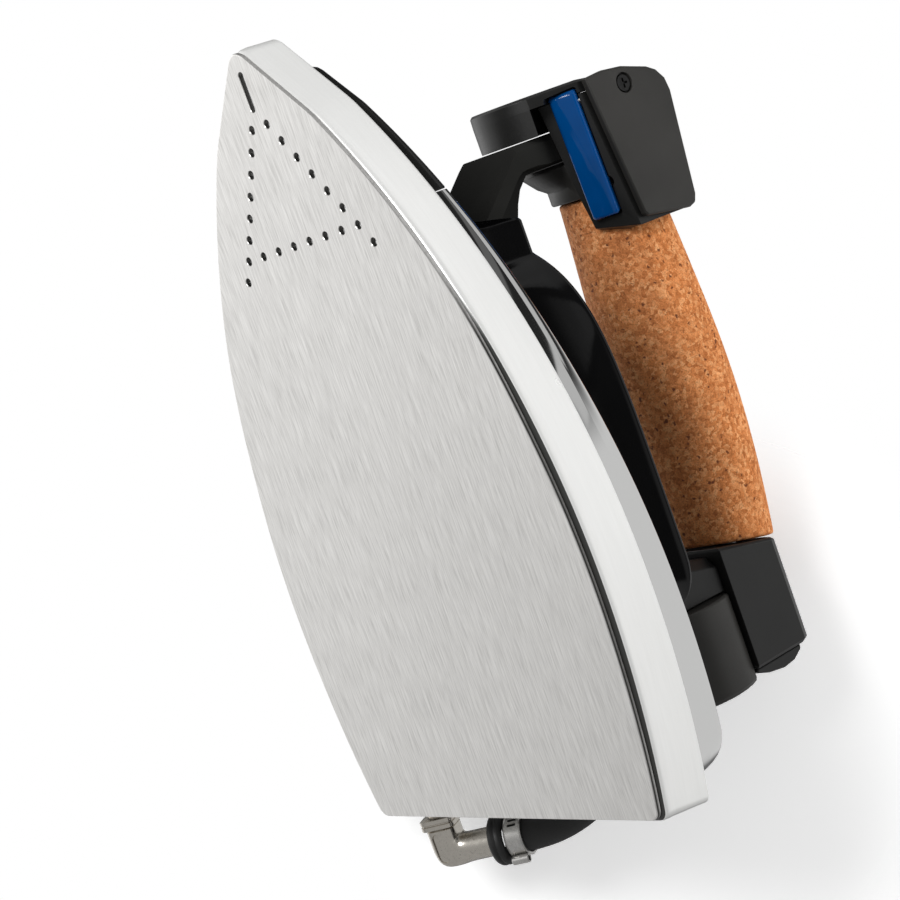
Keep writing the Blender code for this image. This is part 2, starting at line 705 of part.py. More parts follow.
def rear_parts():
    lean = CORK_TILT
    housing = lofted("rear_housing", [
        rear_ring(REAR_FRONT_T + 0.5, 0.6, lean), rear_ring(REAR_FRONT_T + 1.3, 0.0, lean * 0.95),
        rear_ring(REAR_END_T - 1.0, 0.0), rear_ring(REAR_END_T, 0.8)], "black_plastic")
    rearward = Vector((0, 1, 0))
    cut(housing, cutter("rear_rod_bore", [turned_rings(
        (0, 160.0, HANDLE_Z - 1.3), rearward, [(0, 6.6), (36, 6.6)], 16)]))
    turned_ring("rear_washer", (0, 188.0, HANDLE_Z - 1.3), rearward, 3.7, 6.2, 1.2, "steel", 20)

    half = REAR_HALF - 1.6
    profile = [(205.3, 84.6), (205.3, 103.4), (206.6, 103.0), (208.5, 99.5), (209.0, 95.0), (208.0, 89.0),
               (206.4, 84.6)]
    lofted("rear_cap", [[place(x, t, z) for t, z in profile] for x in (-half, half)], "black_plastic")

    def gland_ring(t, radius):
        points = []
        for i in range(36):
            angle = 2 * math.pi * i / 36
            z = GLAND_Z + radius * math.sin(angle)
            points.append(place(radius * math.cos(angle), t, min(z, REAR_LOW_Z)))
        return points

    front, rear = GLAND_SPAN
    gland = lofted("rear_gland", [
        gland_ring(front, GLAND_R - 0.6), gland_ring(front + 0.6, GLAND_R), gland_ring(rear - 1.4, GLAND_R),
        gland_ring(rear - 0.4, GLAND_R - 0.4), gland_ring(rear, GLAND_R - 1.4)], "black_plastic")
    cut(gland, cutter("gland_socket", [turned_rings(
        (0, rear - 14.0, GLAND_Z - 3.0), rearward, [(0, 9.0), (20, 9.0)], 20)]))
    turned_ring("gland_bush", (0, rear - 13.0, GLAND_Z - 3.0), rearward, 5.6, 8.6, 13.4, "rubber", 20)

    def pedestal_ring(z, half_x, t0, t1):
        edge = 3.0
        loop = [(half_x - edge, t0), (half_x, t0 + edge), (half_x, t1), (-half_x, t1),
                (-half_x, t0 + edge), (-half_x + edge, t0)]
        return [place(x, t, z) for x, t in loop]

    lofted("rear_pedestal", [
        pedestal_ring(33.4, 16.0, 158.0, 181.2), pedestal_ring(42.0, 14.4, 160.0, 181.2),
        pedestal_ring(52.0, 14.0, 163.0, 181.2), pedestal_ring(70.0, 14.4, 168.0, 181.2),
        pedestal_ring(REAR_LOW_Z - 0.3, 15.4, 171.0, 181.2)], "black_plastic")


# ---- Steam switch -------------------------------------------------------------------------

def top_z(t):
    """Upper edge of the housing's flat side, highest near the front."""
    return 121.0 - 0.125 * max(t - 46.0, 0.0) - 0.45 * max(46.0 - t, 0.0)


def underside_z(x, t):
    """The slanted face that holds the trigger."""
    return LEG_LOW_Z + LEG_SLOPE * (x - LEG_X) + LEG_RISE * (t - 40.0)


def hood_points(t, trim=0.0):
    """Outside of the housing in section, from the leg's inner edge up and over the handle."""
    side = HOUSING_SIDE_X - trim
    top = top_z(t) - trim
    return [(LEG_X, underside_z(LEG_X, t) + trim), (side, underside_z(side, t) + trim),
            (side, top - 1.2), (side - 1.2, top), (9.0, top + 2.0), (0.0, top + 2.8),
            (-9.0, top + 1.6), (-15.5, top - 2.8), (-18.4 + trim, top - 8.5), (-18.8 + trim, 110.0)]


def housing_ring(t, radius, limit=30.0, lean=0.0):
    """Hook shape: a leg on the +X side and a hood, around a channel for the handle."""
    inner = []
    start, end = math.radians(162.0), math.acos(LEG_X / COLLAR_CHANNEL_R) * -1
    steps = 16
    for i in range(steps + 1):
        angle = start + (end - start) * i / steps
        inner.append((min(radius * math.cos(angle), limit), CHANNEL_Z + radius * math.sin(angle)))
    return [place(x, t - lean * max(97.0 - z, 0.0), z) for x, z in hood_points(t) + inner]


def front_plate():
    """Boss below the handle's end and the plate that closes the front of the switch housing."""
    radius, centre = 17.5, 89.0
    arc = []
    steps = 16
    for i in range(steps + 1):
        angle = math.radians(-44.5 - 150.0 * i / steps)
        arc.append((radius * math.cos(angle), centre + radius * math.sin(angle)))

    def plate_ring(t, trim):
        hood = hood_points(PLATE_BACK_T, trim)[1:]
        upper = [place(x, min(t + max(z - 105.0, 0.0) * 0.22, PLATE_BACK_T - trim / 2), z)
                 for x, z in hood]
        scale = (radius - trim) / radius
        lower = [place(x * scale, t, centre + (z - centre) * scale) for x, z in arc]
        return upper[::-1] + lower

    def boss_ring(t):
        low = [place(x, t, z) for x, z in arc]
        roof = [(-16.6, 94.2), (-15.4, 95.2), (-12.0, 96.0), (-8.0, 96.0), (-4.0, 96.0), (0.0, 96.0),
                (3.0, 96.0), (4.0, 95.0), (4.0, 83.2)]
        return [place(x, t, z) for x, z in roof] + low

    lofted("front_plate", [
        plate_ring(PLATE_FRONT_T, 0.8), plate_ring(PLATE_FRONT_T + 0.7, 0.1),
        plate_ring(PLATE_BACK_T, 0.0), boss_ring(PLATE_BACK_T), boss_ring(46.0)], "black_plastic")


def trigger_frame():
    """Origin on the slanted face above the pivot, with its across, along and outward directions."""
    origin = Vector((TRIGGER_X, PIVOT_T, underside_z(TRIGGER_X, PIVOT_T)))
    across = Vector((1.0, 0.0, LEG_SLOPE)).normalized()
    along = Vector((0.0, 1.0, LEG_RISE))
    along = (along - across * along.dot(across)).normalized()
    return origin, across, along, along.cross(across)


def slanted_ring(profile, out):
    """Ring at a height above the slanted face; the profile holds (across, along) pairs."""
    origin, across, along, outward = trigger_frame()
    return [place(*(origin + across * s + along * d + outward * out)) for s, d in profile]


def bar_profile(half, front, rear, edge=0.5):
    return [(half - edge, front), (half, front + edge), (half, rear - edge), (half - edge, rear),
            (-half + edge, rear), (-half, rear - edge), (-half, front + edge), (-half + edge, front)]


def trigger_parts(housing):
    origin, across, along, outward = trigger_frame()
    front, rear = TRIGGER_SPAN[0] - PIVOT_T, TRIGGER_SPAN[1] - PIVOT_T
    gap = 0.35
    slot = [[slanted_ring(bar_profile(TRIGGER_HALF + gap, front - 0.6, rear + 0.6), out)
             for out in (-TRIGGER_SUNK - 2.1, 6.0)]]
    slot.append([slanted_ring(bar_profile(TRIGGER_HALF + gap, -2.9, 2.9), out)
                 for out in (-PIVOT_DEPTH - 2.2, 6.0)])
    cut_each([housing, bpy.data.objects["front_plate"]], "trigger_slot", slot)
    trigger = lofted("steam_trigger", [
        slanted_ring(bar_profile(TRIGGER_HALF, -2.2, 2.2), -PIVOT_DEPTH - 1.8),
        slanted_ring(bar_profile(TRIGGER_HALF, -2.2, 2.2), -TRIGGER_SUNK),
        slanted_ring(bar_profile(TRIGGER_HALF, front, rear), -TRIGGER_SUNK),
        slanted_ring(bar_profile(TRIGGER_HALF, front, rear), TRIGGER_PROUD - 1.0),
        slanted_ring(bar_profile(TRIGGER_HALF - 0.3, front + 0.3, rear - 0.3), TRIGGER_PROUD - 0.4),
        slanted_ring(bar_profile(TRIGGER_HALF - 0.9, front + 0.9, rear - 0.9), TRIGGER_PROUD)],
        "blue_plastic")
    centre = origin - outward * PIVOT_DEPTH
    reach = TRIGGER_HALF + 1.6
    bore = cutter("pin_bore", [turned_rings(
        centre - across * (reach + 0.3), across,
        [(0, PIN_R + PIN_PLAY), (2 * reach + 0.6, PIN_R + PIN_PLAY)], 12)])
    cut(housing, bore)
    cut(trigger, bore)
    turned("trigger_pin", centre - across * reach, across,
           [(0, PIN_R - 0.2), (0.2, PIN_R), (2 * reach - 0.2, PIN_R), (2 * reach, PIN_R - 0.2)],
           "steel", 12)
    pivot = place(*centre)
    trigger.data.transform(Matrix.Translation(-pivot))
    trigger.location = pivot


def spring_point(turn, base, length, turns, radius):
    angle = 2 * math.pi * turn
    share = turn / turns
    return (base[0] + radius * math.cos(angle), base[1] + radius * math.sin(angle), base[2] + length * share)


def switch_parts():
    housing = lofted("switch_housing", [
        housing_ring(PLATE_BACK_T + 0.3, COLLAR_CHANNEL_R, 8.6),
        housing_ring(54.6, COLLAR_CHANNEL_R, 8.6), housing_ring(54.7, COLLAR_CHANNEL_R),
        housing_ring(66.9, COLLAR_CHANNEL_R), housing_ring(67.3, CORK_CHANNEL_R),
        housing_ring(HOUSING_REAR_T, CORK_CHANNEL_R, lean=0.42)], "black_plastic")
    trigger_parts(housing)
    pocket = [block_rings((9.8, 42.6, 95.2), (19.5, 54.2, 114.0), 0.3)]
    pocket.append(turned_rings((13.2, SWITCH_T, 86.0), Vector((0, 0, 1)), [(0, 1.5), (12, 1.5)], 10))
    pocket.append(turned_rings((15.0, SPRING_T, 90.0), Vector((0, 0, 1)), [(0, 2.2), (6.4, 2.2)], 12))
    cut_each([housing], "switch_pocket", pocket)
    body = block("microswitch_body", (10.2, 43.2, 97.4), (16.8, 53.6, 112.6), "black_plastic", 0.4)
    cut(body, cutter("mount_holes", [turned_rings(
        (8.0, 48.4, z), Vector((1, 0, 0)), [(0, 1.2), (12, 1.2)], 10) for z in (102.6, 109.4)]))
    cut(body, cutter("plunger_bore", [turned_rings(
        (13.2, SWITCH_T, 96.0), Vector((0, 0, 1)), [(0, 1.5), (3.4, 1.5)], 10)]))
    for i, z in enumerate((102.6, 109.4)):
        turned("microswitch_screw_%d" % (i + 1), (10.6, 48.4, z), Vector((1, 0, 0)),
               [(0, 0.8), (6.5, 0.8), (6.5, 1.8), (7.5, 1.8), (7.9, 1.2)], "steel", 10)
    plunger_low = underside_z(13.2, SWITCH_T) + 2.1
    turned("microswitch_plunger", (13.2, SWITCH_T, plunger_low), Vector((0, 0, 1)),
           [(0, 0.7), (0.4, 1.1), (97.2 - plunger_low, 1.1)], "fibre", 12)
    base = (15.0, SPRING_T, underside_z(15.0, SPRING_T) + 2.4)
    turns, per_turn = 3.0, 10
    points = [spring_point(i / per_turn, base, 95.8 - base[2], turns, 1.5)
              for i in range(int(turns * per_turn) + 1)]
    tube("trigger_spring", points, 0.22, "steel", 0)
    lid_parts(housing)


def lid_parts(housing):
    """Flat side of the switch housing with its countersunk screw."""
    loop = [(35.6, 91.9), (35.0, 99.0), (35.6, 106.2), (38.0, 115.4), (39.6, 118.4), (42.4, 120.6),
            (46.0, 121.2), (76.0, 117.4), (77.9, 116.4), (78.6, 114.2), (76.4, 97.8), (75.4, 97.0)]
    middle = (57.0, 106.0)

    def lid_ring(x, trim):
        points = []
        for t, z in loop:
            away = Vector((t - middle[0], z - middle[1])).normalized() * trim
            points.append(place(x, t - away.x, z - away.y))
        return points

    inner, outer = LID_X
    lid = lofted("switch_lid", [lid_ring(inner, 0.0), lid_ring(outer - 0.5, 0.0), lid_ring(outer, 0.5)],
                 "black_plastic")
    sideways = Vector((1, 0, 0))
    spot = (40.2, 105.2)
    cut_each([lid, housing], "lid_bore", [
        turned_rings((outer - 1.2, *spot), sideways, [(0, 2.9), (4, 2.9)], 20),
        turned_rings((12.4, *spot), sideways, [(0, 1.6), (9, 1.6)], 10)])
    screw = turned("switch_lid_screw", (13.0, *spot), sideways,
                   [(0, 1.0), (0.4, 1.3), (outer - 13.9, 1.3), (outer - 13.9, 2.5), (outer - 13.35, 2.3)],
                   "steel", 20)
    cut_each([screw], "cross_slot", [
        block_rings((outer - 1.0, spot[0] - a, spot[1] - b), (outer, spot[0] + a, spot[1] + b), 0.05)
        for a, b in ((1.4, 0.3), (0.3, 1.4))])


# ---- Steam inlet --------------------------------------------------------------------------

def bend(start, direction, toward, radius, angle, steps):
    """Points of an arc that leaves start along direction and turns toward a side."""
    direction = direction.normalized()
    toward = (toward - direction * toward.dot(direction)).normalized()
    centre = start + toward * radius
    points = []
    for i in range(1, steps + 1):
        turn = angle * i / steps
        points.append(centre - toward * (radius * math.cos(turn)) + direction * (radius * math.sin(turn)))
    return points


def hose_points():
    """Out of the ring along the stub, round a half turn, and into the pedestal's rear face."""
    corner = Vector((INLET_X, ELBOW_T, INLET_Z))
    start = corner + STUB_DIR * 19.0
    points = [start, corner + STUB_DIR * 25.0]
    points += bend(points[-1], STUB_DIR, Vector((0, -1, 0.14)), 41.0, math.radians(86.0), 8)
    heading = (points[-1] - points[-2]).normalized()
    reach = (points[-1].y - HOSE_END_T) / -heading.y
    points.append(points[-1] + heading * reach)
    return points


def inlet_parts():
    rearward = Vector((0, 1, 0))
    corner = Vector((INLET_X, ELBOW_T, INLET_Z))
    turned("steam_inlet_fitting", (INLET_X, 203.0, INLET_Z), rearward,
           [(0, 3.2), (11.0, 3.2), (11.0, 5.4), (13.9, 5.4), (14.1, 4.2)], "brass", 6)
    first = [corner - rearward * d for d in (7.5, 4.5)]
    turn = bend(first[-1], rearward, STUB_DIR, 4.5, math.pi / 2, 5)
    last = [corner + STUB_DIR * d for d in (9.0, 13.4)]
    tube("steam_inlet_elbow", [tuple(p) for p in first + turn + last], 4.4, "nickel", 3)
    turned_ring("hose_end_ring", corner + STUB_DIR * 14.0, STUB_DIR, HOSE_R + GAP, RING_R, 4.2, "rubber", 28)
    turned_ring("hose_clamp_band", corner + STUB_DIR * 18.8, STUB_DIR, HOSE_R + GAP, 6.1, 5.2, "steel", 28)
    side, up = basis(STUB_DIR)
    down = -up if up.z > 0 else up
    seat = corner + STUB_DIR * 21.4 + down * 8.4
    turned("hose_clamp_screw", seat - side * 4.5, side, [(0, 1.9), (9, 1.9)], "steel", 14)
    path = hose_points()
    tube("steam_hose", [tuple(p) for p in path], HOSE_R, "rubber", 3)
    heading = (path[-1] - path[-2]).normalized()
    socket = turned_rings(path[-1] - heading * 14.0, heading, [(0, HOSE_R + 0.6), (15.0, HOSE_R + 0.6)], 20)
    cut(bpy.data.objects["rear_pedestal"], cutter("hose_socket", [socket]))


clear_scene()
sole_parts()
body_parts()
front_parts()
handle_parts()
rear_parts()
switch_parts()
inlet_parts()
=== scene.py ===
"""Looks of the professional steam iron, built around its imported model.

The row frame has +X on the iron's left side, +Y from the tip to the heel and +Z up, in metres.
Shapes are drawn in millimetres at a station t, measured rearwards from the tip; place() turns
(x, t, z) into the row frame. The driving dimensions repeat the ones of the CAD source.
"""
import json
import math

import bmesh
import bpy
from mathutils import Matrix, Vector, noise


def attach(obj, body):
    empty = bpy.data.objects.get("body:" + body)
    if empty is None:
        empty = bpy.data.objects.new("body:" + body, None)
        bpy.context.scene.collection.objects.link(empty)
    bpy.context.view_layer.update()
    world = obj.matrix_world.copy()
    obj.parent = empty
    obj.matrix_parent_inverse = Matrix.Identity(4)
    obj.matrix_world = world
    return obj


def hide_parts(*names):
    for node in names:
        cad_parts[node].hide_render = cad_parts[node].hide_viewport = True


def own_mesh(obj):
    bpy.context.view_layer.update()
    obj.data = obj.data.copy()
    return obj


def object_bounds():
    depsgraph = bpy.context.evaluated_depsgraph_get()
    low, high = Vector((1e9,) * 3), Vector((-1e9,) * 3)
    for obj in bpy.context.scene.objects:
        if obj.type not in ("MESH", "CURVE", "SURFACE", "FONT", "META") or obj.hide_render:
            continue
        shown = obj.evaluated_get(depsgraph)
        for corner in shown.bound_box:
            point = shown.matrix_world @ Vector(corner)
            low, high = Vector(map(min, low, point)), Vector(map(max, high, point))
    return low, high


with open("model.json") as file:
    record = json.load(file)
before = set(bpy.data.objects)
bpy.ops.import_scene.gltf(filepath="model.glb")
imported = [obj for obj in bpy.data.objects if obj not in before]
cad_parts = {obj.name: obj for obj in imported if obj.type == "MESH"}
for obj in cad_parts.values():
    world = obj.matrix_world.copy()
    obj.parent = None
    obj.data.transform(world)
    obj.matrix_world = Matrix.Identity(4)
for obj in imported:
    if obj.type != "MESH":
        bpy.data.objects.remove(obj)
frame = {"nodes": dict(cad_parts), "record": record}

MM = 0.001
CAD_LOW, CAD_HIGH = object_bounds()
MID_T = (CAD_HIGH.y - CAD_LOW.y) / MM / 2
NODES = frame["nodes"]
ROOT = "iron"
REARWARD = Vector((0, 1, 0))
WELD = 0.002 * MM

# Sole outline
SOLE_LENGTH = 212.0
SOLE_HALF = (CAD_HIGH.x - CAD_LOW.x) / MM / 2
WIDEST_T = 152.0
FRONT_RADIUS = 215.0
REAR_RADIUS = 250.0
NOSE_HALF = 1.8
NOSE_SLOPE = 0.96
SIDE_STEPS = 70
CORNER_STEPS = 10
SOLE_CORNER = 2.5
HEEL_FLARE = 1.6
NOSE_ROUND = 1.5

# Heights
BAND_FRONT_Z = 13.6
BAND_SLOPE = 0.0165
SHOULDER_Z = 19.4
SHOULDER_SLOPE = 0.05
DECK_RISE = 2.4
SHIELD_RIM_Z = 50.0
SHIELD_NECK = 26.0
GAP = 0.3

# Steam holes
FACE_THICK = 1.2
HOLE_R = 1.1
HOLE_FIRST = (3.5, 20.0)
HOLE_STEP = (3.65, 5.2)
HOLE_ROWS = 8
CROSSBAR_ROW = 6
CROSSBAR_HOLES = 6
SLOT_SPAN = (6.5, 15.0)
# Colour of painted shade: a dark reflection painted along the face's joint with the casting, and shade
# painted in the steam holes and pockets
PAINTED_SHADE = (0.045, 0.045, 0.042)

# Grip
HANDLE_Z = 105.0
CORK_FRONT_T = 66.6
CORK_REAR_T = 172.5
CORK_TILT = math.radians(13.0)
CORK_END_R = 14.2
CORK_BULGE = 2.9

# Steam inlet at the heel
INLET_X = -44.0
INLET_Z = 8.4
ELBOW = Vector((INLET_X, 225.0, INLET_Z))
STUB_DIR = Vector((math.cos(math.radians(30.0)), 0.0, math.sin(math.radians(30.0))))
STUB_LIFT = Vector((-STUB_DIR.z, 0, STUB_DIR.x))
HOSE_R = 5.0
HOSE_TURN_R = 41.0
HOSE_END_T = 177.0
RING_R = 7.4

# Camera of the reference view
CAMERA_PLACE = Vector((0.4879, -0.0732, -0.3432))
CAMERA_RIGHT = Vector((0.59592, 0.33646, 0.72916))
CAMERA_FORWARD = Vector((-0.79486, 0.11780, 0.59525))
CAMERA_LENS = 93.23
SENSOR = 36.0

VIEW_FORWARD = CAMERA_FORWARD.normalized()
VIEW_RIGHT = (CAMERA_RIGHT - VIEW_FORWARD * CAMERA_RIGHT.dot(VIEW_FORWARD)).normalized()
VIEW_UP = VIEW_RIGHT.cross(VIEW_FORWARD)


def place(x, t, z):
    return Vector((x, t - MID_T, z)) * MM


# ---- Meshes ----

def linked(name, data):
    obj = bpy.data.objects.new(name, data)
    bpy.context.scene.collection.objects.link(obj)
    return obj


def add_piece(name, bm, material, sharp=35.0):
    bmesh.ops.recalc_face_normals(bm, faces=bm.faces[:])
    mesh = bpy.data.meshes.new(name)
    bm.to_mesh(mesh)
    bm.free()
    mesh.materials.append(material)
    mesh.shade_smooth()
    mesh.set_sharp_from_angle(angle=math.radians(sharp))
    return linked(name, mesh)


def stand_in(obj, node, body=ROOT):
    """The piece takes the place of a CAD node, which is hidden, and rides on its body."""
    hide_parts(node)
    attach(obj, body)
    return obj


def skin(bm, rings, closed=False):
    """Rows of points with equal counts become a skin of quads, capped unless it closes on itself."""
    rows = [[bm.verts.new(point) for point in ring] for ring in rings]
    count = len(rows[0])
    pairs = list(zip(rows, rows[1:]))
    if closed:
        pairs.append((rows[-1], rows[0]))
    for low, high in pairs:
        for i in range(count):
            j = (i + 1) % count
            bm.faces.new((low[i], low[j], high[j], high[i]))
    if not closed:
        bm.faces.new(rows[0])
        bm.faces.new(rows[-1])
    return rows


def lofted(name, rings, material, closed=False, sharp=35.0):
    bm = bmesh.new()
    skin(bm, rings, closed)
    return add_piece(name, bm, material, sharp)


def basis(direction):
    direction = direction.normalized()
    helper = Vector((0, 0, 1)) if abs(direction.z) < 0.9 else Vector((1, 0, 0))
    side = helper.cross(direction).normalized()
    return side, direction.cross(side)


def circle(centre, direction, radius, sides):
    side, up = basis(direction)
    points = []
    for i in range(sides):
        angle = 2 * math.pi * i / sides
        offset = side * (radius * math.cos(angle)) + up * (radius * math.sin(angle))
        points.append(place(*(Vector(centre) + offset)))
    return points


def turned_rings(base, direction, profile, sides):
    """Rings of a turned shape; profile holds (distance along the axis, radius)."""
    direction = direction.normalized()
    return [circle(Vector(base) + direction * along, direction, radius, sides)
            for along, radius in profile]


def spline_weights(s):
    """Shares of four neighbouring entries at a place between the middle two."""
    return (-0.5 * s + s * s - 0.5 * s ** 3, 1 - 2.5 * s * s + 1.5 * s ** 3,
            0.5 * s + 2 * s * s - 1.5 * s ** 3, -0.5 * s * s + 0.5 * s ** 3)


def neighbours(rows, k):
    last = len(rows) - 1
    return [rows[max(k - 1, 0)], rows[k], rows[k + 1], rows[min(k + 2, last)]]


def bent(rows, steps):
    """Smooth rows between the given ones; an entry is a number or a function of the station."""
    def mixed(weights, entries):
        if callable(entries[0]):
            return lambda t: sum(w * entry(t) for w, entry in zip(weights, entries))
        return sum(w * entry for w, entry in zip(weights, entries))

    out = []
    for k in range(len(rows) - 1):
        group = neighbours(rows, k)
        for i in range(steps):
            weights = spline_weights(i / steps)
            out.append([mixed(weights, entries) for entries in zip(*group)])
    out.append(list(rows[-1]))
    return out


def welded(node):
    """A CAD node's mesh with its split vertices joined."""
    bm = bmesh.new()
    bm.from_mesh(NODES[node].data)
    bmesh.ops.remove_doubles(bm, verts=bm.verts[:], dist=WELD)
    return bm


def softened(node, material, width, body=ROOT, segments=3):
    """A CAD node again, with its sharp edges rounded."""
    angle = math.radians(30.0)
    bm = welded(node)
    bmesh.ops.dissolve_limit(bm, angle_limit=math.radians(0.8), verts=bm.verts[:], edges=bm.edges[:])
    for face in bm.faces:
        face.material_index = 0
    mesh = bpy.data.meshes.new(node + "_fine")
    bm.to_mesh(mesh)
    bm.free()
    mesh.materials.append(material)
    mesh.shade_smooth()
    mesh.set_sharp_from_angle(angle=angle)
    obj = linked(node + "_fine", mesh)
    bevel = obj.modifiers.new("rounding", "BEVEL")
    bevel.width = width * MM
    bevel.segments = segments
    bevel.limit_method = "ANGLE"
    bevel.angle_limit = angle
    bevel.miter_outer = "MITER_ARC"
    bevel.use_clamp_overlap = True
    bevel.harden_normals = True
    return stand_in(obj, node, body)


# ---- Node helpers ----

def principled(name, colour, metallic=0.0, roughness=0.5, **sockets):
    material = bpy.data.materials.new(name)
    material.use_nodes = True
    shader = material.node_tree.nodes["Principled BSDF"]
    shader.inputs["Base Color"].default_value = (*colour, 1.0)
    shader.inputs["Metallic"].default_value = metallic
    shader.inputs["Roughness"].default_value = roughness
    for socket, value in sockets.items():
        shader.inputs[socket.replace("_", " ")].default_value = value
    return material, shader


def stretched(material, scale):
    """Object coordinates times a scale, one number or one for each axis, in cells per metre."""
    if isinstance(scale, float):
        scale = (scale, scale, scale)
    tree = material.node_tree
    coordinates = tree.nodes.new("ShaderNodeTexCoord")
    mapping = tree.nodes.new("ShaderNodeMapping")
    mapping.inputs["Scale"].default_value = scale
    tree.links.new(coordinates.outputs["Object"], mapping.inputs["Vector"])
    return mapping.outputs["Vector"]


def noise_value(material, scale, detail=3.0, rough=0.55):
    tree = material.node_tree
    texture = tree.nodes.new("ShaderNodeTexNoise")
    texture.inputs["Scale"].default_value = 1.0
    texture.inputs["Detail"].default_value = detail
    texture.inputs["Roughness"].default_value = rough
    tree.links.new(stretched(material, scale), texture.inputs["Vector"])
    return texture.outputs["Fac"]


def mask(material, name):
    """A value stored at the mesh's points."""
    node = material.node_tree.nodes.new("ShaderNodeAttribute")
    node.attribute_name = name
    return node.outputs["Fac"]


def ramp(material, value, stops):
    """Colours along a value; stops hold (place, grey or colour)."""
    tree = material.node_tree
    node = tree.nodes.new("ShaderNodeValToRGB")
    elements = node.color_ramp.elements
    while len(elements) < len(stops):
        elements.new(0.5)
    for element, (at, colour) in zip(elements, stops):
        element.position = at
        if isinstance(colour, (int, float)):
            colour = (colour, colour, colour)
        element.color = (*colour, 1.0)
    tree.links.new(value, node.inputs["Fac"])
    return node.outputs["Color"]


def feed(material, shader, socket, value, stops):
    """A shader socket takes the colours or greys of a ramp along a value."""
    material.node_tree.links.new(ramp(material, value, stops), shader.inputs[socket])


def blended(material, first, second, kind="MULTIPLY", share=1.0):
    """Two colours mixed; each may be a socket or a colour, and the share a socket or a number."""
    tree = material.node_tree
    node = tree.nodes.new("ShaderNodeMix")
    node.data_type = "RGBA"
    node.blend_type = kind
    node.inputs["Factor"].default_value = 1.0
    for socket, value in (("Factor", share), ("A", first), ("B", second)):
        socket = [s for s in node.inputs if s.name == socket and s.enabled][0]
        if isinstance(value, (int, float)):
            socket.default_value = value
        elif isinstance(value, tuple):
            socket.default_value = (*value, 1.0)
        else:
            tree.links.new(value, socket)
    return [s for s in node.outputs if s.enabled][0]


def bump(material, shader, height, depth, normal=None):
    """Relief whose depth is given in millimetres."""
    tree = material.node_tree
    node = tree.nodes.new("ShaderNodeBump")
    node.inputs["Strength"].default_value = 1.0
    node.inputs["Distance"].default_value = depth * MM
    tree.links.new(height, node.inputs["Height"])
    if normal:
        tree.links.new(normal, node.inputs["Normal"])
    tree.links.new(node.outputs["Normal"], shader.inputs["Normal"])
    return node.outputs["Normal"]


# ---- Materials ----

def brushed_steel():
    """Sole face: short scratches along the iron's length, a painted dark reflection along its edge at the
    joint toward the rear, and painted shade in its steam holes.
    """
    material, shader = principled("sole_steel", (0.72, 0.71, 0.69), 1.0, 0.36)
    fine = noise_value(material, (1900.0, 90.0, 1900.0), 4.0, 0.7)
    broad = noise_value(material, (560.0, 26.0, 560.0), 3.0, 0.6)
    cloud = noise_value(material, (26.0, 12.0, 26.0), 2.0)
    streaks = ramp(material, fine, [(0.30, (0.58, 0.57, 0.553)), (0.5, (0.735, 0.725, 0.706)),
                                    (0.70, (0.85, 0.84, 0.82))])
    tone = ramp(material, broad, [(0.3, 0.95), (0.7, 1.0)])
    patch = ramp(material, cloud, [(0.3, 0.97), (0.7, 1.0)])
    colour = blended(material, blended(material, streaks, tone), patch)
    # Painted shade: a dark reflection along the edge at the joint and shade in the steam holes, by the
    # values stored at the points.
    colour = blended(material, colour, PAINTED_SHADE, "MIX", mask(material, "painted_shade"))
    material.node_tree.links.new(colour, shader.inputs["Base Color"])
    feed(material, shader, "Roughness", fine, [(0.3, 0.42), (0.7, 0.34)])
    bump(material, shader, fine, 0.006)
    return material


def polished_aluminium():
    """Satin edge band: bright metal under a fine matt finish, with a painted dark reflection along its lip
    at the joint and painted shade in its pockets.
    """
    material, shader = principled("sole_aluminium", (0.86, 0.86, 0.845), 0.35, 0.30)
    lines = noise_value(material, (60.0, 60.0, 1300.0), 3.0)
    cloud = noise_value(material, (55.0, 55.0, 90.0), 2.0)
    feed(material, shader, "Roughness", cloud, [(0.3, 0.27), (0.7, 0.34)])
    colour = ramp(material, lines, [(0.3, (0.835, 0.835, 0.82)), (0.7, (0.865, 0.865, 0.85))])
    # Painted shade: a dark reflection along the lip at the joint and shade in the pockets, by the values
    # stored at the points.
    colour = blended(material, colour, PAINTED_SHADE, "MIX", mask(material, "painted_shade"))
    material.node_tree.links.new(colour, shader.inputs["Base Color"])
    bump(material, shader, lines, 0.0012)
    return material


def chrome():
    material, shader = principled("chrome_cover", (0.84, 0.84, 0.83), 1.0, 0.05)
    smudge = noise_value(material, (70.0, 55.0, 70.0), 4.0)
    feed(material, shader, "Roughness", smudge, [(0.35, 0.035), (0.75, 0.085)])
    bump(material, shader, noise_value(material, 45.0, 1.0), 0.01)
    return material


def gloss_enamel():
    material, shader = principled("black_enamel", (0.003, 0.003, 0.0032), 0.0, 0.12,
                                  Specular_IOR_Level=0.35)
    smudge = noise_value(material, (90.0, 70.0, 90.0), 4.0)
    feed(material, shader, "Roughness", smudge, [(0.3, 0.09), (0.75, 0.18)])
    bump(material, shader, noise_value(material, 420.0, 2.0), 0.004)
    return material


def moulded(name, colour, rough, grain, depth, **sockets):
    """Plastic with a fine eroded grain and slight shade changes."""
    material, shader = principled(name, colour, 0.0, rough, **sockets)
    fine = noise_value(material, 1.0 / (grain * MM), 3.0, 0.6)
    cloud = noise_value(material, 38.0, 3.0)
    darker = tuple(c * 0.82 for c in colour)
    lighter = tuple(c * 1.16 for c in colour)
    feed(material, shader, "Base Color", cloud, [(0.3, darker), (0.7, lighter)])
    feed(material, shader, "Roughness", fine, [(0.3, rough + 0.07), (0.7, rough - 0.05)])
    bump(material, shader, fine, depth)
    return material


def gloss_blue():
    material, shader = principled("blue_plastic", (0.0, 0.055, 0.21), 0.0, 0.08, Specular_IOR_Level=0.22)
    cloud = noise_value(material, 120.0, 2.0)
    feed(material, shader, "Base Color", cloud, [(0.3, (0.0, 0.053, 0.205)), (0.7, (0.0, 0.060, 0.232))])
    bump(material, shader, noise_value(material, (60.0, 30.0, 60.0), 1.0), 0.002)
    return material


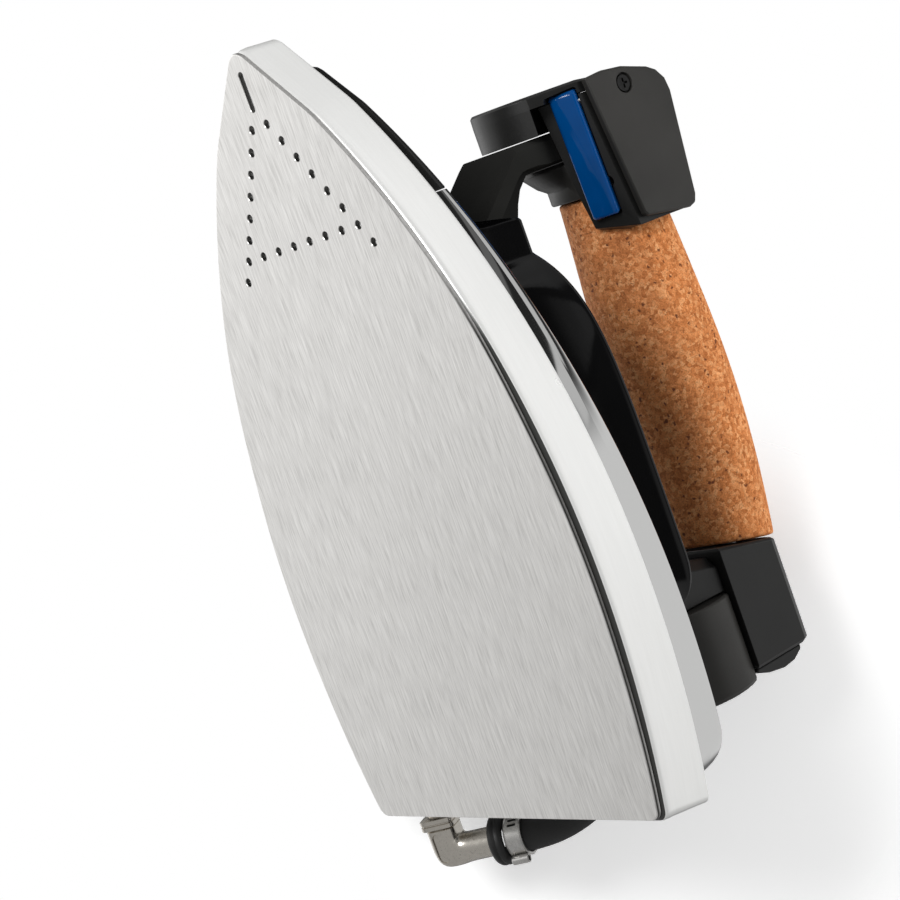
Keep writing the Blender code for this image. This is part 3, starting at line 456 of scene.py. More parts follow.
def cork():
    """Ground cork: small granules in several browns, pale chips and dark bark specks."""
    material, shader = principled("cork", (0.58, 0.26, 0.09), 0.0, 0.8)
    tree = material.node_tree

    def cells(scale):
        texture = tree.nodes.new("ShaderNodeTexVoronoi")
        texture.inputs["Scale"].default_value = 1.0
        warp = tree.nodes.new("ShaderNodeTexNoise")
        warp.inputs["Scale"].default_value = 1.0
        warp.inputs["Detail"].default_value = 2.0
        tree.links.new(stretched(material, scale * 1.3), warp.inputs["Vector"])
        shift = tree.nodes.new("ShaderNodeVectorMath")
        shift.operation = "MULTIPLY_ADD"
        shift.inputs[1].default_value = (1.3, 1.3, 1.3)
        tree.links.new(warp.outputs["Color"], shift.inputs[0])
        tree.links.new(stretched(material, scale), shift.inputs[2])
        tree.links.new(shift.outputs["Vector"], texture.inputs["Vector"])
        return texture

    def channel(texture, name):
        split = tree.nodes.new("ShaderNodeSeparateColor")
        tree.links.new(texture.outputs["Color"], split.inputs["Color"])
        return split.outputs[name]

    granules = cells(950.0)
    body = ramp(material, channel(granules, "Red"), [
        (0.0, (0.44, 0.135, 0.032)), (0.35, (0.60, 0.205, 0.058)), (0.7, (0.69, 0.265, 0.088)),
        (1.0, (0.80, 0.37, 0.15))])
    grain = noise_value(material, 2100.0, 4.0, 0.75)
    body = blended(material, body, ramp(material, grain, [(0.34, 0.55), (0.5, 0.95), (0.68, 1.18)]))
    cloud = noise_value(material, 160.0, 2.0)
    body = blended(material, body, ramp(material, cloud, [(0.35, 0.90), (0.65, 1.04)]))
    specks = cells(640.0)
    bark = ramp(material, channel(specks, "Green"), [(0.80, 0.0), (0.84, 1.0)])
    near = ramp(material, specks.outputs["Distance"], [(0.22, 1.0), (0.40, 0.0)])
    colour = blended(material, body, (0.15, 0.042, 0.012), "MIX", blended(material, bark, near))
    tree.links.new(colour, shader.inputs["Base Color"])
    feed(material, shader, "Roughness", grain, [(0.3, 0.95), (0.7, 0.75)])
    hollows = ramp(material, granules.outputs["Distance"], [(0.0, 1.0), (0.6, 0.0)])
    bump(material, shader, grain, 0.10, bump(material, shader, hollows, 0.05))
    return material


def woven_hose():
    """Textile braid over rubber: two crossing sets of strands, from the tube's own UV map."""
    material, shader = principled("hose_braid", (0.012, 0.012, 0.013), 0.0, 0.62)
    tree = material.node_tree
    uv = tree.nodes.new("ShaderNodeUVMap")
    uv.uv_map = "UVMap"
    heights = []
    for turn in (1.0, -1.0):
        mapping = tree.nodes.new("ShaderNodeMapping")
        mapping.inputs["Rotation"].default_value = (0.0, 0.0, turn * math.radians(45.0))
        tree.links.new(uv.outputs["UV"], mapping.inputs["Vector"])
        wave = tree.nodes.new("ShaderNodeTexWave")
        wave.inputs["Scale"].default_value = 5.2
        tree.links.new(mapping.outputs["Vector"], wave.inputs["Vector"])
        heights.append(wave.outputs["Color"])
    weave = blended(material, heights[0], heights[1], "LIGHTEN")
    feed(material, shader, "Base Color", weave, [(0.2, 0.004), (0.9, 0.022)])
    bump(material, shader, weave, 0.25)
    return material


def worn_metal(name, colour, rough, grain, depth, contrast=0.25):
    """Bare metal with a fine mottled grain."""
    material, shader = principled(name, colour, 1.0, rough)
    fine = noise_value(material, 1.0 / (grain * MM), 4.0, 0.65)
    darker = tuple(c * (1 - contrast) for c in colour)
    feed(material, shader, "Base Color", fine, [(0.3, darker), (0.62, colour)])
    feed(material, shader, "Roughness", fine, [(0.3, rough + 0.10), (0.7, rough - 0.05)])
    bump(material, shader, fine, depth)
    return material


def fibre():
    material, shader = principled("fibre", (0.60, 0.57, 0.48), 0.0, 0.95)
    strands = noise_value(material, (900.0, 250.0, 900.0), 4.0, 0.7)
    feed(material, shader, "Base Color", strands, [(0.3, (0.48, 0.45, 0.37)), (0.7, (0.68, 0.65, 0.56))])
    bump(material, shader, strands, 0.1)
    return material


LOOKS = {
    "sole_steel": brushed_steel(),
    "sole_aluminium": polished_aluminium(),
    "cast_aluminium": worn_metal("cast_aluminium", (0.55, 0.55, 0.54), 0.45, 0.8, 0.05),
    "chrome_cover": chrome(),
    "steel": worn_metal("steel", (0.58, 0.57, 0.55), 0.28, 0.7, 0.01),
    "dark_steel": worn_metal("dark_steel", (0.05, 0.05, 0.05), 0.35, 0.5, 0.01),
    "brass": worn_metal("brass", (0.62, 0.45, 0.18), 0.3, 0.6, 0.01),
    "nickel": worn_metal("nickel", (0.60, 0.565, 0.51), 0.22, 1.1, 0.02, 0.12),
    "black_enamel": gloss_enamel(),
    "nose_black": moulded("nose_black", (0.008, 0.008, 0.0077), 0.22, 0.6, 0.004,
                          Specular_IOR_Level=0.1),
    "black_plastic": moulded("black_plastic", (0.010, 0.010, 0.0096), 0.36, 0.32, 0.012, IOR=1.42),
    "deep_plastic": moulded("deep_plastic", (0.016, 0.016, 0.015), 0.45, 0.32, 0.012,
                            Specular_IOR_Level=0.0),
    "grey_plastic": moulded("grey_plastic", (0.024, 0.023, 0.021), 0.42, 0.26, 0.012, IOR=1.42),
    "blue_plastic": gloss_blue(),
    "cork": cork(),
    "rubber": moulded("rubber", (0.008, 0.008, 0.008), 0.5, 0.5, 0.03, IOR=1.45),
    "hose_braid": woven_hose(),
    "fibre": fibre(),
}


def dress_frame():
    """Every CAD node that stays in sight takes the finish of its slot."""
    for part in frame["record"]["subparts"]:
        obj = NODES[part["node"]]
        for item in obj.material_slots:
            item.material = LOOKS[part["material_slot"]]


# ---- Plan outlines ----

def ease(share):
    """A soft step from 0 to 1."""
    share = min(max(share, 0.0), 1.0)
    return share * share * (3 - 2 * share)


def half_width(t, inset=0.0):
    """Half width of the sole: a straight-sided nose that runs into a long arc."""
    nose = NOSE_HALF + NOSE_SLOPE * t - inset * math.hypot(1.0, NOSE_SLOPE)
    radius = FRONT_RADIUS if t < WIDEST_T else REAR_RADIUS
    arc = SOLE_HALF - radius + math.sqrt((radius - inset) ** 2 - (t - WIDEST_T) ** 2)
    return min(nose, arc)


def nose_station(inset):
    """Where a line drawn at this inset reaches the tip."""
    return inset * math.hypot(1.0, NOSE_SLOPE) / NOSE_SLOPE


def outline(inset, height, front=None, rear=None, corner=SOLE_CORNER):
    """Closed ring of the sole's shape; inset and height are numbers or functions of the station."""
    level = height if callable(height) else (lambda t: height)
    inside = inset if callable(inset) else (lambda t: inset)
    start = nose_station(inside(0.0))
    front = max(start, front or 0.0)
    rear = SOLE_LENGTH - inside(SOLE_LENGTH) if rear is None else rear
    straight_end = rear - corner
    side = []
    for i in range(SIDE_STEPS):
        t = front + (straight_end - front) * (i / SIDE_STEPS) ** 1.6
        bluntness = 1 - min((t - start) / NOSE_ROUND, 1.0)
        side.append((half_width(t, inside(t)) * math.sqrt(1.0 - 0.96 * bluntness * bluntness), t))
    for i in range(CORNER_STEPS + 1):
        angle = math.pi / 2 * i / CORNER_STEPS
        t = straight_end + corner * math.sin(angle)
        side.append((half_width(t, inside(t)) - corner * (1 - math.cos(angle)), t))
    right = [place(x, t, level(t)) for x, t in side]
    left = [place(-x, t, level(t)) for x, t in reversed(side)]
    return right + left


def band_z(t):
    return BAND_FRONT_Z + BAND_SLOPE * t


def shoulder_z(t):
    return SHOULDER_Z + SHOULDER_SLOPE * t


def deck_z(t):
    return shoulder_z(t) + DECK_RISE


def above(height, rise):
    return lambda t: height(t) + rise


def between(share, rise=0.0):
    return lambda t: band_z(t) + share * (shoulder_z(t) - band_z(t)) + rise


# ---- Sole face ----

def hole_places():
    """Centres of the round steam holes: two legs of rows, and a crossbar."""
    places = []
    for row in range(HOLE_ROWS):
        x = HOLE_FIRST[0] + HOLE_STEP[0] * row
        t = HOLE_FIRST[1] + HOLE_STEP[1] * row
        places += [(x, t), (-x, t)]
    bar_x = HOLE_FIRST[0] + HOLE_STEP[0] * CROSSBAR_ROW
    bar_t = HOLE_FIRST[1] + HOLE_STEP[1] * CROSSBAR_ROW
    pitch = 2 * bar_x / (CROSSBAR_HOLES + 1)
    places += [(-bar_x + pitch * (i + 1), bar_t) for i in range(CROSSBAR_HOLES)]
    return places


def slot_ring(x, front, rear, radius):
    """Outline of a slot with round ends, as (x, t) pairs."""
    steps = 12
    points = []
    for i in range(2 * steps + 2):
        end = rear if i <= steps else front
        angle = math.pi * (i if i <= steps else i - 1) / steps
        points.append((x + radius * math.cos(angle), end + radius * math.sin(angle)))
    return points


def carve(target, tool, sharp=None):
    """The tool's volume is taken out of the target for good, and edges over an angle are sharp."""
    modifier = target.modifiers.new("cut", "BOOLEAN")
    modifier.operation = "DIFFERENCE"
    modifier.solver = "EXACT"
    modifier.object = tool
    graph = bpy.context.evaluated_depsgraph_get()
    mesh = bpy.data.meshes.new_from_object(target.evaluated_get(graph))
    target.modifiers.remove(modifier)
    target.data = mesh
    bpy.data.objects.remove(tool, do_unlink=True)
    if sharp:
        mesh.set_sharp_from_angle(angle=math.radians(sharp))


def sole_face():
    """Face plate with a soft edge and a small countersink at every steam hole."""
    face = lofted("sole_face_fine", [
        outline(above(face_inset, 0.3), 0.0), outline(above(face_inset, 0.08), 0.07),
        outline(face_inset, 0.28), outline(face_inset, 0.5), outline(face_inset, FACE_THICK)],
        LOOKS["sole_steel"])
    bm = bmesh.new()
    up = Vector((0, 0, 1))
    profile = [(0.0, HOLE_R + 1.2), (1.18, HOLE_R), (3.0, HOLE_R)]
    for x, t in hole_places():
        skin(bm, turned_rings((x, t, -1.0), up, profile, 28))
    skin(bm, [[place(x, t, z) for x, t in slot_ring(0.0, *SLOT_SPAN, radius)]
              for radius, z in ((2.2, -1.0), (1.0, 0.2), (1.0, 3.0))])
    carve(face, add_piece("hole_tool", bm, LOOKS["sole_steel"]), 25.0)
    for polygon in face.data.polygons:
        polygon.use_smooth = polygon.normal.z > -0.9999
    # The steam holes take painted shade, and the edge at the joint a painted dark reflection.
    paint_shade(face, 0.27, 9.0, hole_shade=0.9)
    stand_in(face, "sole_face_plate")


def face_inset(t):
    """The face reaches the edge at the tip, and leaves a joint beside it further back, where a painted dark
    reflection lies.
    """
    return 0.45 + 1.35 * ease((t - 66.0) / 50.0) - 0.7 * ease((t - 165.0) / 50.0)


def paint_shade(obj, low, high, hole_shade=0.0):
    """Stores how much painted shade each point takes: a dark reflection painted along the joint between face
    and casting toward the rear, and shade painted in the steam holes and pockets.
    """
    values = obj.data.attributes.new("painted_shade", "FLOAT", "POINT")
    for item, vertex in zip(values.data, obj.data.vertices):
        x, t, z = vertex.co.x / MM, vertex.co.y / MM + MID_T, vertex.co.z / MM
        # Points inside the steam holes and the casting's pockets take painted shade.
        if half_width(t) - abs(x) > 2.8 and 8.0 > z > 0.15 and t < SOLE_LENGTH - 4.0:
            item.value = hole_shade
        # Points on the edge at the joint take a painted dark reflection, from none at the tip to full toward
        # the rear.
        elif low < z < high and vertex.normal.z < 0.6:
            item.value = ease((t - 62.0) / 26.0)


def casting():
    """Body of the sole: finely drawn outside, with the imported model's pockets cut into it."""
    base = FACE_THICK + GAP
    heel = SOLE_LENGTH + HEEL_FLARE
    corner = SOLE_CORNER - 0.6

    def lip(share):
        return lambda t: (face_inset(t) + 0.12) * (1 - share) + 0.42 * share

    body = lofted("casting_fine", [
        outline(lip(0.0), base), outline(lip(1.0), base + 0.42), outline(0.4, base + 0.44),
        outline(0.22, base + 0.9), outline(0.1, base + 1.6), outline(0.03, base + 2.4),
        outline(0.0, base + 3.2), outline(0.0, above(band_z, -0.8), None, heel, corner),
        outline(0.02, above(band_z, -0.35), None, heel, corner),
        outline(0.14, above(band_z, -0.1), None, heel - 0.1, corner),
        outline(0.4, band_z, None, heel - 0.4, corner)], LOOKS["sole_aluminium"], sharp=50.0)
    bm = welded("soleplate_casting")
    mesh = bpy.data.meshes.new("packed_casting")
    bm.to_mesh(mesh)
    bm.free()
    mesh.materials.append(LOOKS["sole_aluminium"])
    core = linked("packed_casting", mesh)
    bm = bmesh.new()
    skin(bm, [outline(2.6, base + 0.7), outline(2.6, 30.0)])
    hollow = add_piece("hollow_tool", bm, LOOKS["sole_aluminium"])
    carve(hollow, core)
    carve(body, hollow)
    bm = bmesh.new()
    skin(bm, turned_rings((INLET_X, SOLE_LENGTH - 12.0, INLET_Z), REARWARD, [(0, 3.6), (20, 3.6)], 24))
    carve(body, add_piece("inlet_tool", bm, LOOKS["sole_aluminium"]), 50.0)
    # The pockets take painted shade, and the lip at the joint a painted dark reflection.
    paint_shade(body, 0.0, base + 0.43, hole_shade=0.75)
    stand_in(body, "soleplate_casting")


# ---- Covers and heat shield ----

def shell(name, node, front, rear, corner, material, nose=False):
    """Cup over the sole, open below: inner skin, lower edge, outer skin with a soft shoulder."""
    skin_thick = 1.2
    outer = bent([(1.5, between(0.42)), (2.9, above(shoulder_z, -1.6)), (5.0, shoulder_z),
                  (8.5, above(shoulder_z, 1.7)), (13.0, deck_z)], 6)
    outer = [(0.9, above(band_z, GAP)), (1.0, above(band_z, GAP + 0.4))] + [tuple(row) for row in outer]
    inner = [(2.1, above(band_z, GAP)), (2.9, between(0.5, -0.4)), (4.1, above(shoulder_z, -2.6)),
             (6.2, above(shoulder_z, -1.2)), (9.4, above(shoulder_z, 0.5)),
             (13.6, above(deck_z, -skin_thick))]
    rings = []
    for inside, rows in ((True, inner[::-1]), (False, outer)):
        for inset, height in rows:
            step = skin_thick if inside else 0.0
            if nose:
                rings.append(outline(inset, height, 9.0 + 1.1 * inset, rear - step, 0.6))
            else:
                rings.append(outline(inset, height, front + step, None, max(corner - inset, 2.0)))
    obj = lofted(name, rings, material, sharp=40.0)
    return stand_in(obj, node)


def shield_half(t, inset):
    """Half width of the tray, narrowed to a neck in front."""
    full = half_width(t, inset)
    neck = SHIELD_NECK - (inset - 17.0) * 0.6
    return min(full, neck + 18.0 * (1 - math.exp(-max(t - 73.6, 0.0) / 12.5)))


def shield_ring(inset, height, front, rear, corner):
    side = []
    straight_end = rear - corner
    steps = 110
    for i in range(steps):
        t = front + (straight_end - front) * (i / steps) ** 1.2
        side.append((shield_half(t, inset), t))
    for i in range(13):
        angle = math.pi / 2 * i / 12
        t = straight_end + corner * math.sin(angle)
        side.append((shield_half(t, inset) - corner * (1 - math.cos(angle)), t))
    right = [place(x, t, height(t)) for x, t in side]
    left = [place(-x, t, height(t)) for x, t in reversed(side)]
    return right + left


def rim_z(t):
    """Top of the tray's wall: low at the neck, and level behind it."""
    low = deck_z(t) + 5.6
    return low + (SHIELD_RIM_Z - low) * ease((t - 59.0) / 5.5)


def wall_z(share):
    """Height at a share of the tray's wall."""
    return lambda t: deck_z(t) + GAP + share * (rim_z(t) - deck_z(t) - GAP)


def heat_shield():
    """Tray with a rolled rim, open in front for the leg and notched behind for the pedestal."""
    inner = bent([(25.5, above(deck_z, 2.2), 52.8, 170.2, 10.0),
                  (24.5, wall_z(0.45), 52.4, 170.6, 11.0), (20.5, wall_z(0.85), 52.0, 172.4, 13.0),
                  (18.9, above(rim_z, -0.5), 51.8, 173.3, 14.0)], 6)
    rim = [(18.6, above(rim_z, -0.1), 51.6, 173.5, 14.0), (18.2, rim_z, 51.2, 173.8, 14.2),
           (17.6, above(rim_z, -0.05), 50.7, 174.2, 14.6), (17.15, above(rim_z, -0.35), 50.4, 174.6, 15.0)]
    outer = bent([(17.0, above(rim_z, -0.9), 50.3, 174.7, 15.0), (19.0, wall_z(0.82), 50.3, 173.6, 14.0),
                  (22.8, wall_z(0.42), 50.3, 171.8, 12.0), (23.8, above(deck_z, GAP), 50.3, 171.2, 11.0)], 6)
    rings = [shield_ring(*row) for row in inner + rim + outer]
    obj = lofted("heat_shield_fine", rings, LOOKS["black_enamel"], sharp=50.0)
    bm = bmesh.new()
    half, front, rear = 16.6, 164.0, 190.0
    corners = [(-half, front), (half, front), (half, rear), (-half, rear)]
    skin(bm, [[place(x, t, z) for x, t in corners] for z in (32.8, 60.0)])
    carve(obj, add_piece("notch_tool", bm, LOOKS["black_enamel"]), 50.0)
    stand_in(obj, "heat_shield")


# ---- Grip ----

def cork_centre(t):
    back = max(t - 112.0, 0.0)
    return HANDLE_Z - 0.00075 * back * back


def cork_radius(t):
    share = (t - CORK_FRONT_T) / (CORK_REAR_T - CORK_FRONT_T)
    return CORK_END_R + CORK_BULGE * math.sin(math.pi * min(share * 0.86, 1.0)) ** 1.3


def cork_grip():
    """Turned grip with soft end edges, crumbly in its surface."""
    sides, steps = 200, 190
    ends = [(0.0, 3.4), (0.0, 1.1), (0.12, 0.5), (0.4, 0.15), (0.9, 0.0)]
    length = CORK_REAR_T - CORK_FRONT_T
    rows = list(ends)
    rows += [(1.5 + (length - 3.0) * i / steps, 0.0) for i in range(steps + 1)]
    rows += [(length - along, shrink) for along, shrink in reversed(ends)]
    rings = []
    for along, shrink in rows:
        t = CORK_FRONT_T + along
        lean = math.tan(CORK_TILT * along / length)
        ring = []
        for i in range(sides):
            angle = 2 * math.pi * i / sides
            radius = cork_radius(t) - shrink
            spot = Vector((math.cos(angle) * radius, t, math.sin(angle) * radius))
            pit = max(noise.noise(spot * 0.9) - 0.18, 0.0)
            radius -= 0.35 * pit + 0.05 * (1 + noise.noise(spot * 1.7)) if 0.0 < along < length else 0.0
            rise = radius * math.sin(angle)
            ring.append(place(radius * math.cos(angle), t + rise * lean, cork_centre(t) + rise))
        rings.append(ring)
    obj = lofted("cork_grip", rings, LOOKS["cork"], sharp=60.0)
    stand_in(obj, "cork_handle")


# ---- Steam inlet ----

def turn_points(start, direction, toward, radius, angle, steps):
    """Points round an arc that leaves a start in one direction and bends toward another."""
    direction = direction.normalized()
    toward = (toward - direction * toward.dot(direction)).normalized()
    centre = start + toward * radius
    return [centre - toward * (radius * math.cos(angle * i / steps))
            + direction * (radius * math.sin(angle * i / steps)) for i in range(1, steps + 1)]


def hose_route():
    """Out of the ring along the stub, round a turn, and into the pedestal's rear face."""
    points = [ELBOW + STUB_DIR * 19.0, ELBOW + STUB_DIR * 25.0]
    points += turn_points(points[-1], STUB_DIR, Vector((0, -1, 0.14)), HOSE_TURN_R, math.radians(86.0), 8)
    heading = (points[-1] - points[-2]).normalized()
    reach = (points[-1].y - HOSE_END_T) / -heading.y
    points.append(points[-1] + heading * reach)
    return points


def resampled(points, step):
    """Points a step apart along a smooth curve through the given ones."""
    fine = []
    for k in range(len(points) - 1):
        a, b, c, d = neighbours(points, k)
        for i in range(20):
            before, here, after, later = spline_weights(i / 20)
            fine.append(a * before + b * here + c * after + d * later)
    fine.append(points[-1])
    out, travelled = [fine[0]], 0.0
    for before, after in zip(fine, fine[1:]):
        travelled += (after - before).length
        if travelled >= step:
            out.append(after)
            travelled = 0.0
    if (out[-1] - fine[-1]).length > step / 4:
        out.append(fine[-1])
    return out


def swept(name, path, ring_at, material, sharp=50.0):
    """A skin along a path; ring_at(index) gives (across, up) offsets, and a UV map is kept."""
    bm = bmesh.new()
    layer = bm.loops.layers.uv.new("UVMap")
    forward = (path[1] - path[0]).normalized()
    side, up = basis(forward)
    rings, run, lengths = [], 0.0, []
    for i, point in enumerate(path):
        ahead = path[min(i + 1, len(path) - 1)] - path[max(i - 1, 0)]
        turn = forward.rotation_difference(ahead.normalized())
        side, up = turn @ side, turn @ up
        forward = ahead.normalized()
        rings.append([place(*(point + side * a + up * b)) for a, b in ring_at(i)])
        if i:
            run += (point - path[i - 1]).length
        lengths.append(run)
    rows = skin(bm, rings)
    index = {vert: (r, c) for r, row in enumerate(rows) for c, vert in enumerate(row)}
    count = len(rows[0])
    for face in bm.faces:
        spots = [index[loop.vert] for loop in face.loops]
        wraps = max(c for _, c in spots) - min(c for _, c in spots) > count / 2
        for loop, (r, c) in zip(face.loops, spots):
            c = c + count if wraps and c < count / 2 else c
            loop[layer].uv = (c / count * 8.0, lengths[r] / 4.0)
    return add_piece(name, bm, material, sharp)


def hose():
    path = resampled(hose_route(), 0.9)
    sides = 40
    angles = [2 * math.pi * k / sides for k in range(sides)]
    section = [(HOSE_R * math.cos(angle), HOSE_R * math.sin(angle)) for angle in angles]
    obj = swept("hose", path, lambda i: section, LOOKS["hose_braid"])
    stand_in(obj, "steam_hose")


def squared(radius, power):
    """Section between a circle (power 2) and a square (large powers), as pairs."""
    sides = 48
    points = []
    for k in range(sides):
        c, s = math.cos(2 * math.pi * k / sides), math.sin(2 * math.pi * k / sides)
        reach = radius / (abs(c) ** power + abs(s) ** power) ** (1 / power)
        points.append((reach * c, reach * s))
    return points


def inlet_fitting():
    """Threaded shank in the casting, and a square head with a waist under the elbow."""
    rings = []
    rows = [(203.0, 2.9, 2.0), (203.4, 3.2, 2.0), (213.7, 3.2, 2.0), (213.9, 4.5, 7.0), (214.1, 4.9, 7.0),
            (215.2, 4.9, 7.0), (215.4, 4.6, 7.0), (215.6, 4.6, 7.0), (215.8, 4.95, 7.0),
            (216.9, 4.95, 7.0), (217.1, 4.6, 7.0)]
    for t, radius, power in rows:
        middle = Vector((INLET_X, t, INLET_Z))
        rings.append([place(*(middle + STUB_DIR * a + STUB_LIFT * b)) for a, b in squared(radius, power)])
    obj = lofted("inlet_fitting", rings, LOOKS["nickel"], sharp=40.0)
    stand_in(obj, "steam_inlet_fitting")


def elbow():
    """Cast elbow: a square body with a recessed panel, a tight outer corner and a round stub."""
    inner, body = 4.3, 4.2
    first = [ELBOW - REARWARD * d for d in (7.6, 7.3, 6.6, 6.0, 5.2, inner)]
    steps = 16
    turn = turn_points(first[-1], REARWARD, STUB_DIR, inner, math.pi / 2, steps)
    last = [ELBOW + STUB_DIR * d for d in (4.8, 5.4, 6.2, 7.4, 9.2, 11.2, 13.0, 13.4)]
    path = first + turn + last
    begin = len(first) - 1

    def ring(i):
        bent_share = min(max((i - begin) / steps, 0.0), 1.0)
        power = 5.0 - 3.0 * ease((i - begin - 8) / (steps - 4))
        c, s = math.cos(bent_share * math.pi / 2), math.sin(bent_share * math.pi / 2)
        stretch = (abs(c) ** 4 + abs(s) ** 4) ** -0.25
        outer = ((inner + body) * stretch - inner) / body
        radius = body - 0.35 * (i == 0)
        pairs = []
        for a, b in squared(radius, power):
            a *= outer if a < 0 else 1.0
            pairs.append((-STUB_DIR.x * a + STUB_DIR.z * b, STUB_DIR.z * a + STUB_DIR.x * b))
        return pairs

    obj = swept("inlet_elbow", path, ring, LOOKS["nickel"], sharp=40.0)
    bm = bmesh.new()
    skin(bm, [[place(*(Vector((INLET_X, t, INLET_Z)) + STUB_DIR * a - STUB_LIFT * depth))
               for a, t in slot_ring(-1.2, 219.9, 225.6, radius)]
              for depth, radius in ((3.55, 1.35), (4.6, 1.75))])
    carve(obj, add_piece("panel_tool", bm, LOOKS["nickel"]), 40.0)
    stand_in(obj, "steam_inlet_elbow")


def ring_and_clamp():
    """Ribbed rubber ring, and a band clamp with slots and a rolled ear."""
    profile = [(0.0, HOSE_R + GAP), (0.0, RING_R - 1.2), (0.35, RING_R - 0.45), (0.9, RING_R - 0.1),
               (1.5, RING_R), (2.1, RING_R - 0.35), (2.7, RING_R), (3.3, RING_R - 0.1),
               (3.85, RING_R - 0.45), (4.2, RING_R - 1.2), (4.2, HOSE_R + GAP)]
    ring = lofted("hose_ring", turned_rings(ELBOW + STUB_DIR * 14.0, STUB_DIR, profile, 64),
                  LOOKS["rubber"], closed=True)
    stand_in(ring, "hose_end_ring")

    inner, outer, width = HOSE_R + GAP, HOSE_R + GAP + 0.55, 5.2
    base = ELBOW + STUB_DIR * 18.8
    profile = [(0.0, inner), (0.0, outer + 0.1), (0.2, outer + 0.22), (0.5, outer), (width - 0.5, outer),
               (width - 0.2, outer + 0.22), (width, outer + 0.1), (width, inner)]
    band = lofted("clamp_band", turned_rings(base, STUB_DIR, profile, 96), LOOKS["steel"], closed=True)
    side, up = basis(STUB_DIR)
    bm = bmesh.new()
    for k in range(1, 9):
        angle = math.radians(90.0 + 16.4 * k)
        out = side * math.cos(angle) + up * math.sin(angle)
        across = STUB_DIR.cross(out)
        centre = base + STUB_DIR * (width / 2)
        slot_box(bm, centre + out * (inner - 0.2), out, STUB_DIR, across, (1.6, 1.3, 0.36))
    carve(band, add_piece("slot_tool", bm, LOOKS["steel"]), 35.0)
    stand_in(band, "hose_clamp_band")

    angle = math.radians(318.0)
    out = side * math.cos(angle) + up * math.sin(angle)
    ear = lofted("clamp_ear", turned_rings(base + STUB_DIR * 0.1 + out * (outer + 1.35), STUB_DIR, [
        (0.2, 0.75), (0.0, 0.95), (0.0, 1.15), (0.2, 1.3), (4.8, 1.3), (5.0, 1.15), (5.0, 0.95),
        (4.8, 0.75)], 40), LOOKS["steel"], closed=True)
    stand_in(ear, "hose_clamp_screw")


def slot_box(bm, start, out, along, across, size):
    depth, half_long, half_wide = size
    corners = [(-half_long, -half_wide), (half_long, -half_wide), (half_long, half_wide),
               (-half_long, half_wide)]
    skin(bm, [[place(*(start + out * rise + along * a + across * b)) for a, b in corners]
              for rise in (0.0, depth)])


# ---- Plastic parts ----

# Look, finish slot and edge radius in millimetres
ROUNDED = {
    "front_post": ("deep_plastic", "black_plastic", 0.55),
    "front_plate": ("black_plastic", "black_plastic", 0.45),
    "front_collar": ("grey_plastic", "grey_plastic", 0.25),
    "switch_housing": ("black_plastic", "black_plastic", 0.45),
    "switch_lid": ("grey_plastic", "grey_plastic", 0.35),
    "switch_lid_screw": ("dark_steel", "dark_steel", 0.1),
    "rear_housing": ("black_plastic", "black_plastic", 0.7),
    "rear_cap": ("black_plastic", "black_plastic", 0.5),
    "rear_pedestal": ("black_plastic", "black_plastic", 0.6),
    "rear_gland": ("grey_plastic", "black_plastic", 0.3),
    "gland_bush": ("rubber", "rubber", 0.2),
}


def return_spring():
    """A steel copy of the trigger's spring, standing in for the imported one with a mesh of its own."""
    mesh = NODES["trigger_spring"].data.copy()
    mesh.materials.clear()
    mesh.materials.append(LOOKS["steel"])
    obj = stand_in(linked("trigger_spring_fine", mesh), "trigger_spring")
    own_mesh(obj)


def plastic_parts():
    for node, (look, slot, width) in ROUNDED.items():
        softened(node, LOOKS[look], width)
    softened("steam_trigger", LOOKS["blue_plastic"], 0.3, body="trigger", segments=4)
    softened("thermostat_knob", LOOKS["black_plastic"], 0.3, body="heat_control")


# ---- Stage ----

def one_sided(name, glow, tint, radius=None):
    """Pale matt surface, seen from its front only; given a radius, it thins out towards it."""
    material = bpy.data.materials.new(name)
    material.use_nodes = True
    tree = material.node_tree
    tree.nodes.clear()

    def mixed(factor, first, second):
        node = tree.nodes.new("ShaderNodeMixShader")
        for source, socket in zip((factor, first, second), node.inputs):
            tree.links.new(source, socket)
        return node.outputs[0]

    matt = tree.nodes.new("ShaderNodeBsdfDiffuse")
    matt.inputs["Color"].default_value = (tint, tint, tint, 1.0)
    light = tree.nodes.new("ShaderNodeEmission")
    light.inputs["Strength"].default_value = glow
    both = tree.nodes.new("ShaderNodeAddShader")
    tree.links.new(matt.outputs[0], both.inputs[0])
    tree.links.new(light.outputs[0], both.inputs[1])
    clear = tree.nodes.new("ShaderNodeBsdfTransparent")
    geometry = tree.nodes.new("ShaderNodeNewGeometry")
    surface = mixed(geometry.outputs["Backfacing"], both.outputs[0], clear.outputs[0])
    if radius:
        coordinates = tree.nodes.new("ShaderNodeTexCoord")
        length = tree.nodes.new("ShaderNodeVectorMath")
        length.operation = "LENGTH"
        tree.links.new(coordinates.outputs["Object"], length.inputs[0])
        span = tree.nodes.new("ShaderNodeMapRange")
        span.interpolation_type = "SMOOTHSTEP"
        span.inputs["From Min"].default_value = radius * 0.55
        span.inputs["From Max"].default_value = radius
        tree.links.new(length.outputs["Value"], span.inputs["Value"])
        surface = mixed(span.outputs["Result"], surface, clear.outputs[0])
    output = tree.nodes.new("ShaderNodeOutputMaterial")
    tree.links.new(surface, output.inputs["Surface"])
    return material


def stage_plane(name, centre, normal, size, material):
    mesh = bpy.data.meshes.new(name)
    half = size / 2
    mesh.from_pydata([(-half, -half, 0), (half, -half, 0), (half, half, 0), (-half, half, 0)], [],
                     [(0, 1, 2, 3)])
    mesh.materials.append(material)
    obj = linked(name, mesh)
    obj.location = centre
    obj.rotation_euler = Vector(normal).to_track_quat("Z", "Y").to_euler()
    obj.visible_diffuse = False
    obj.visible_glossy = False
    obj.visible_transmission = False
    obj.visible_shadow = False


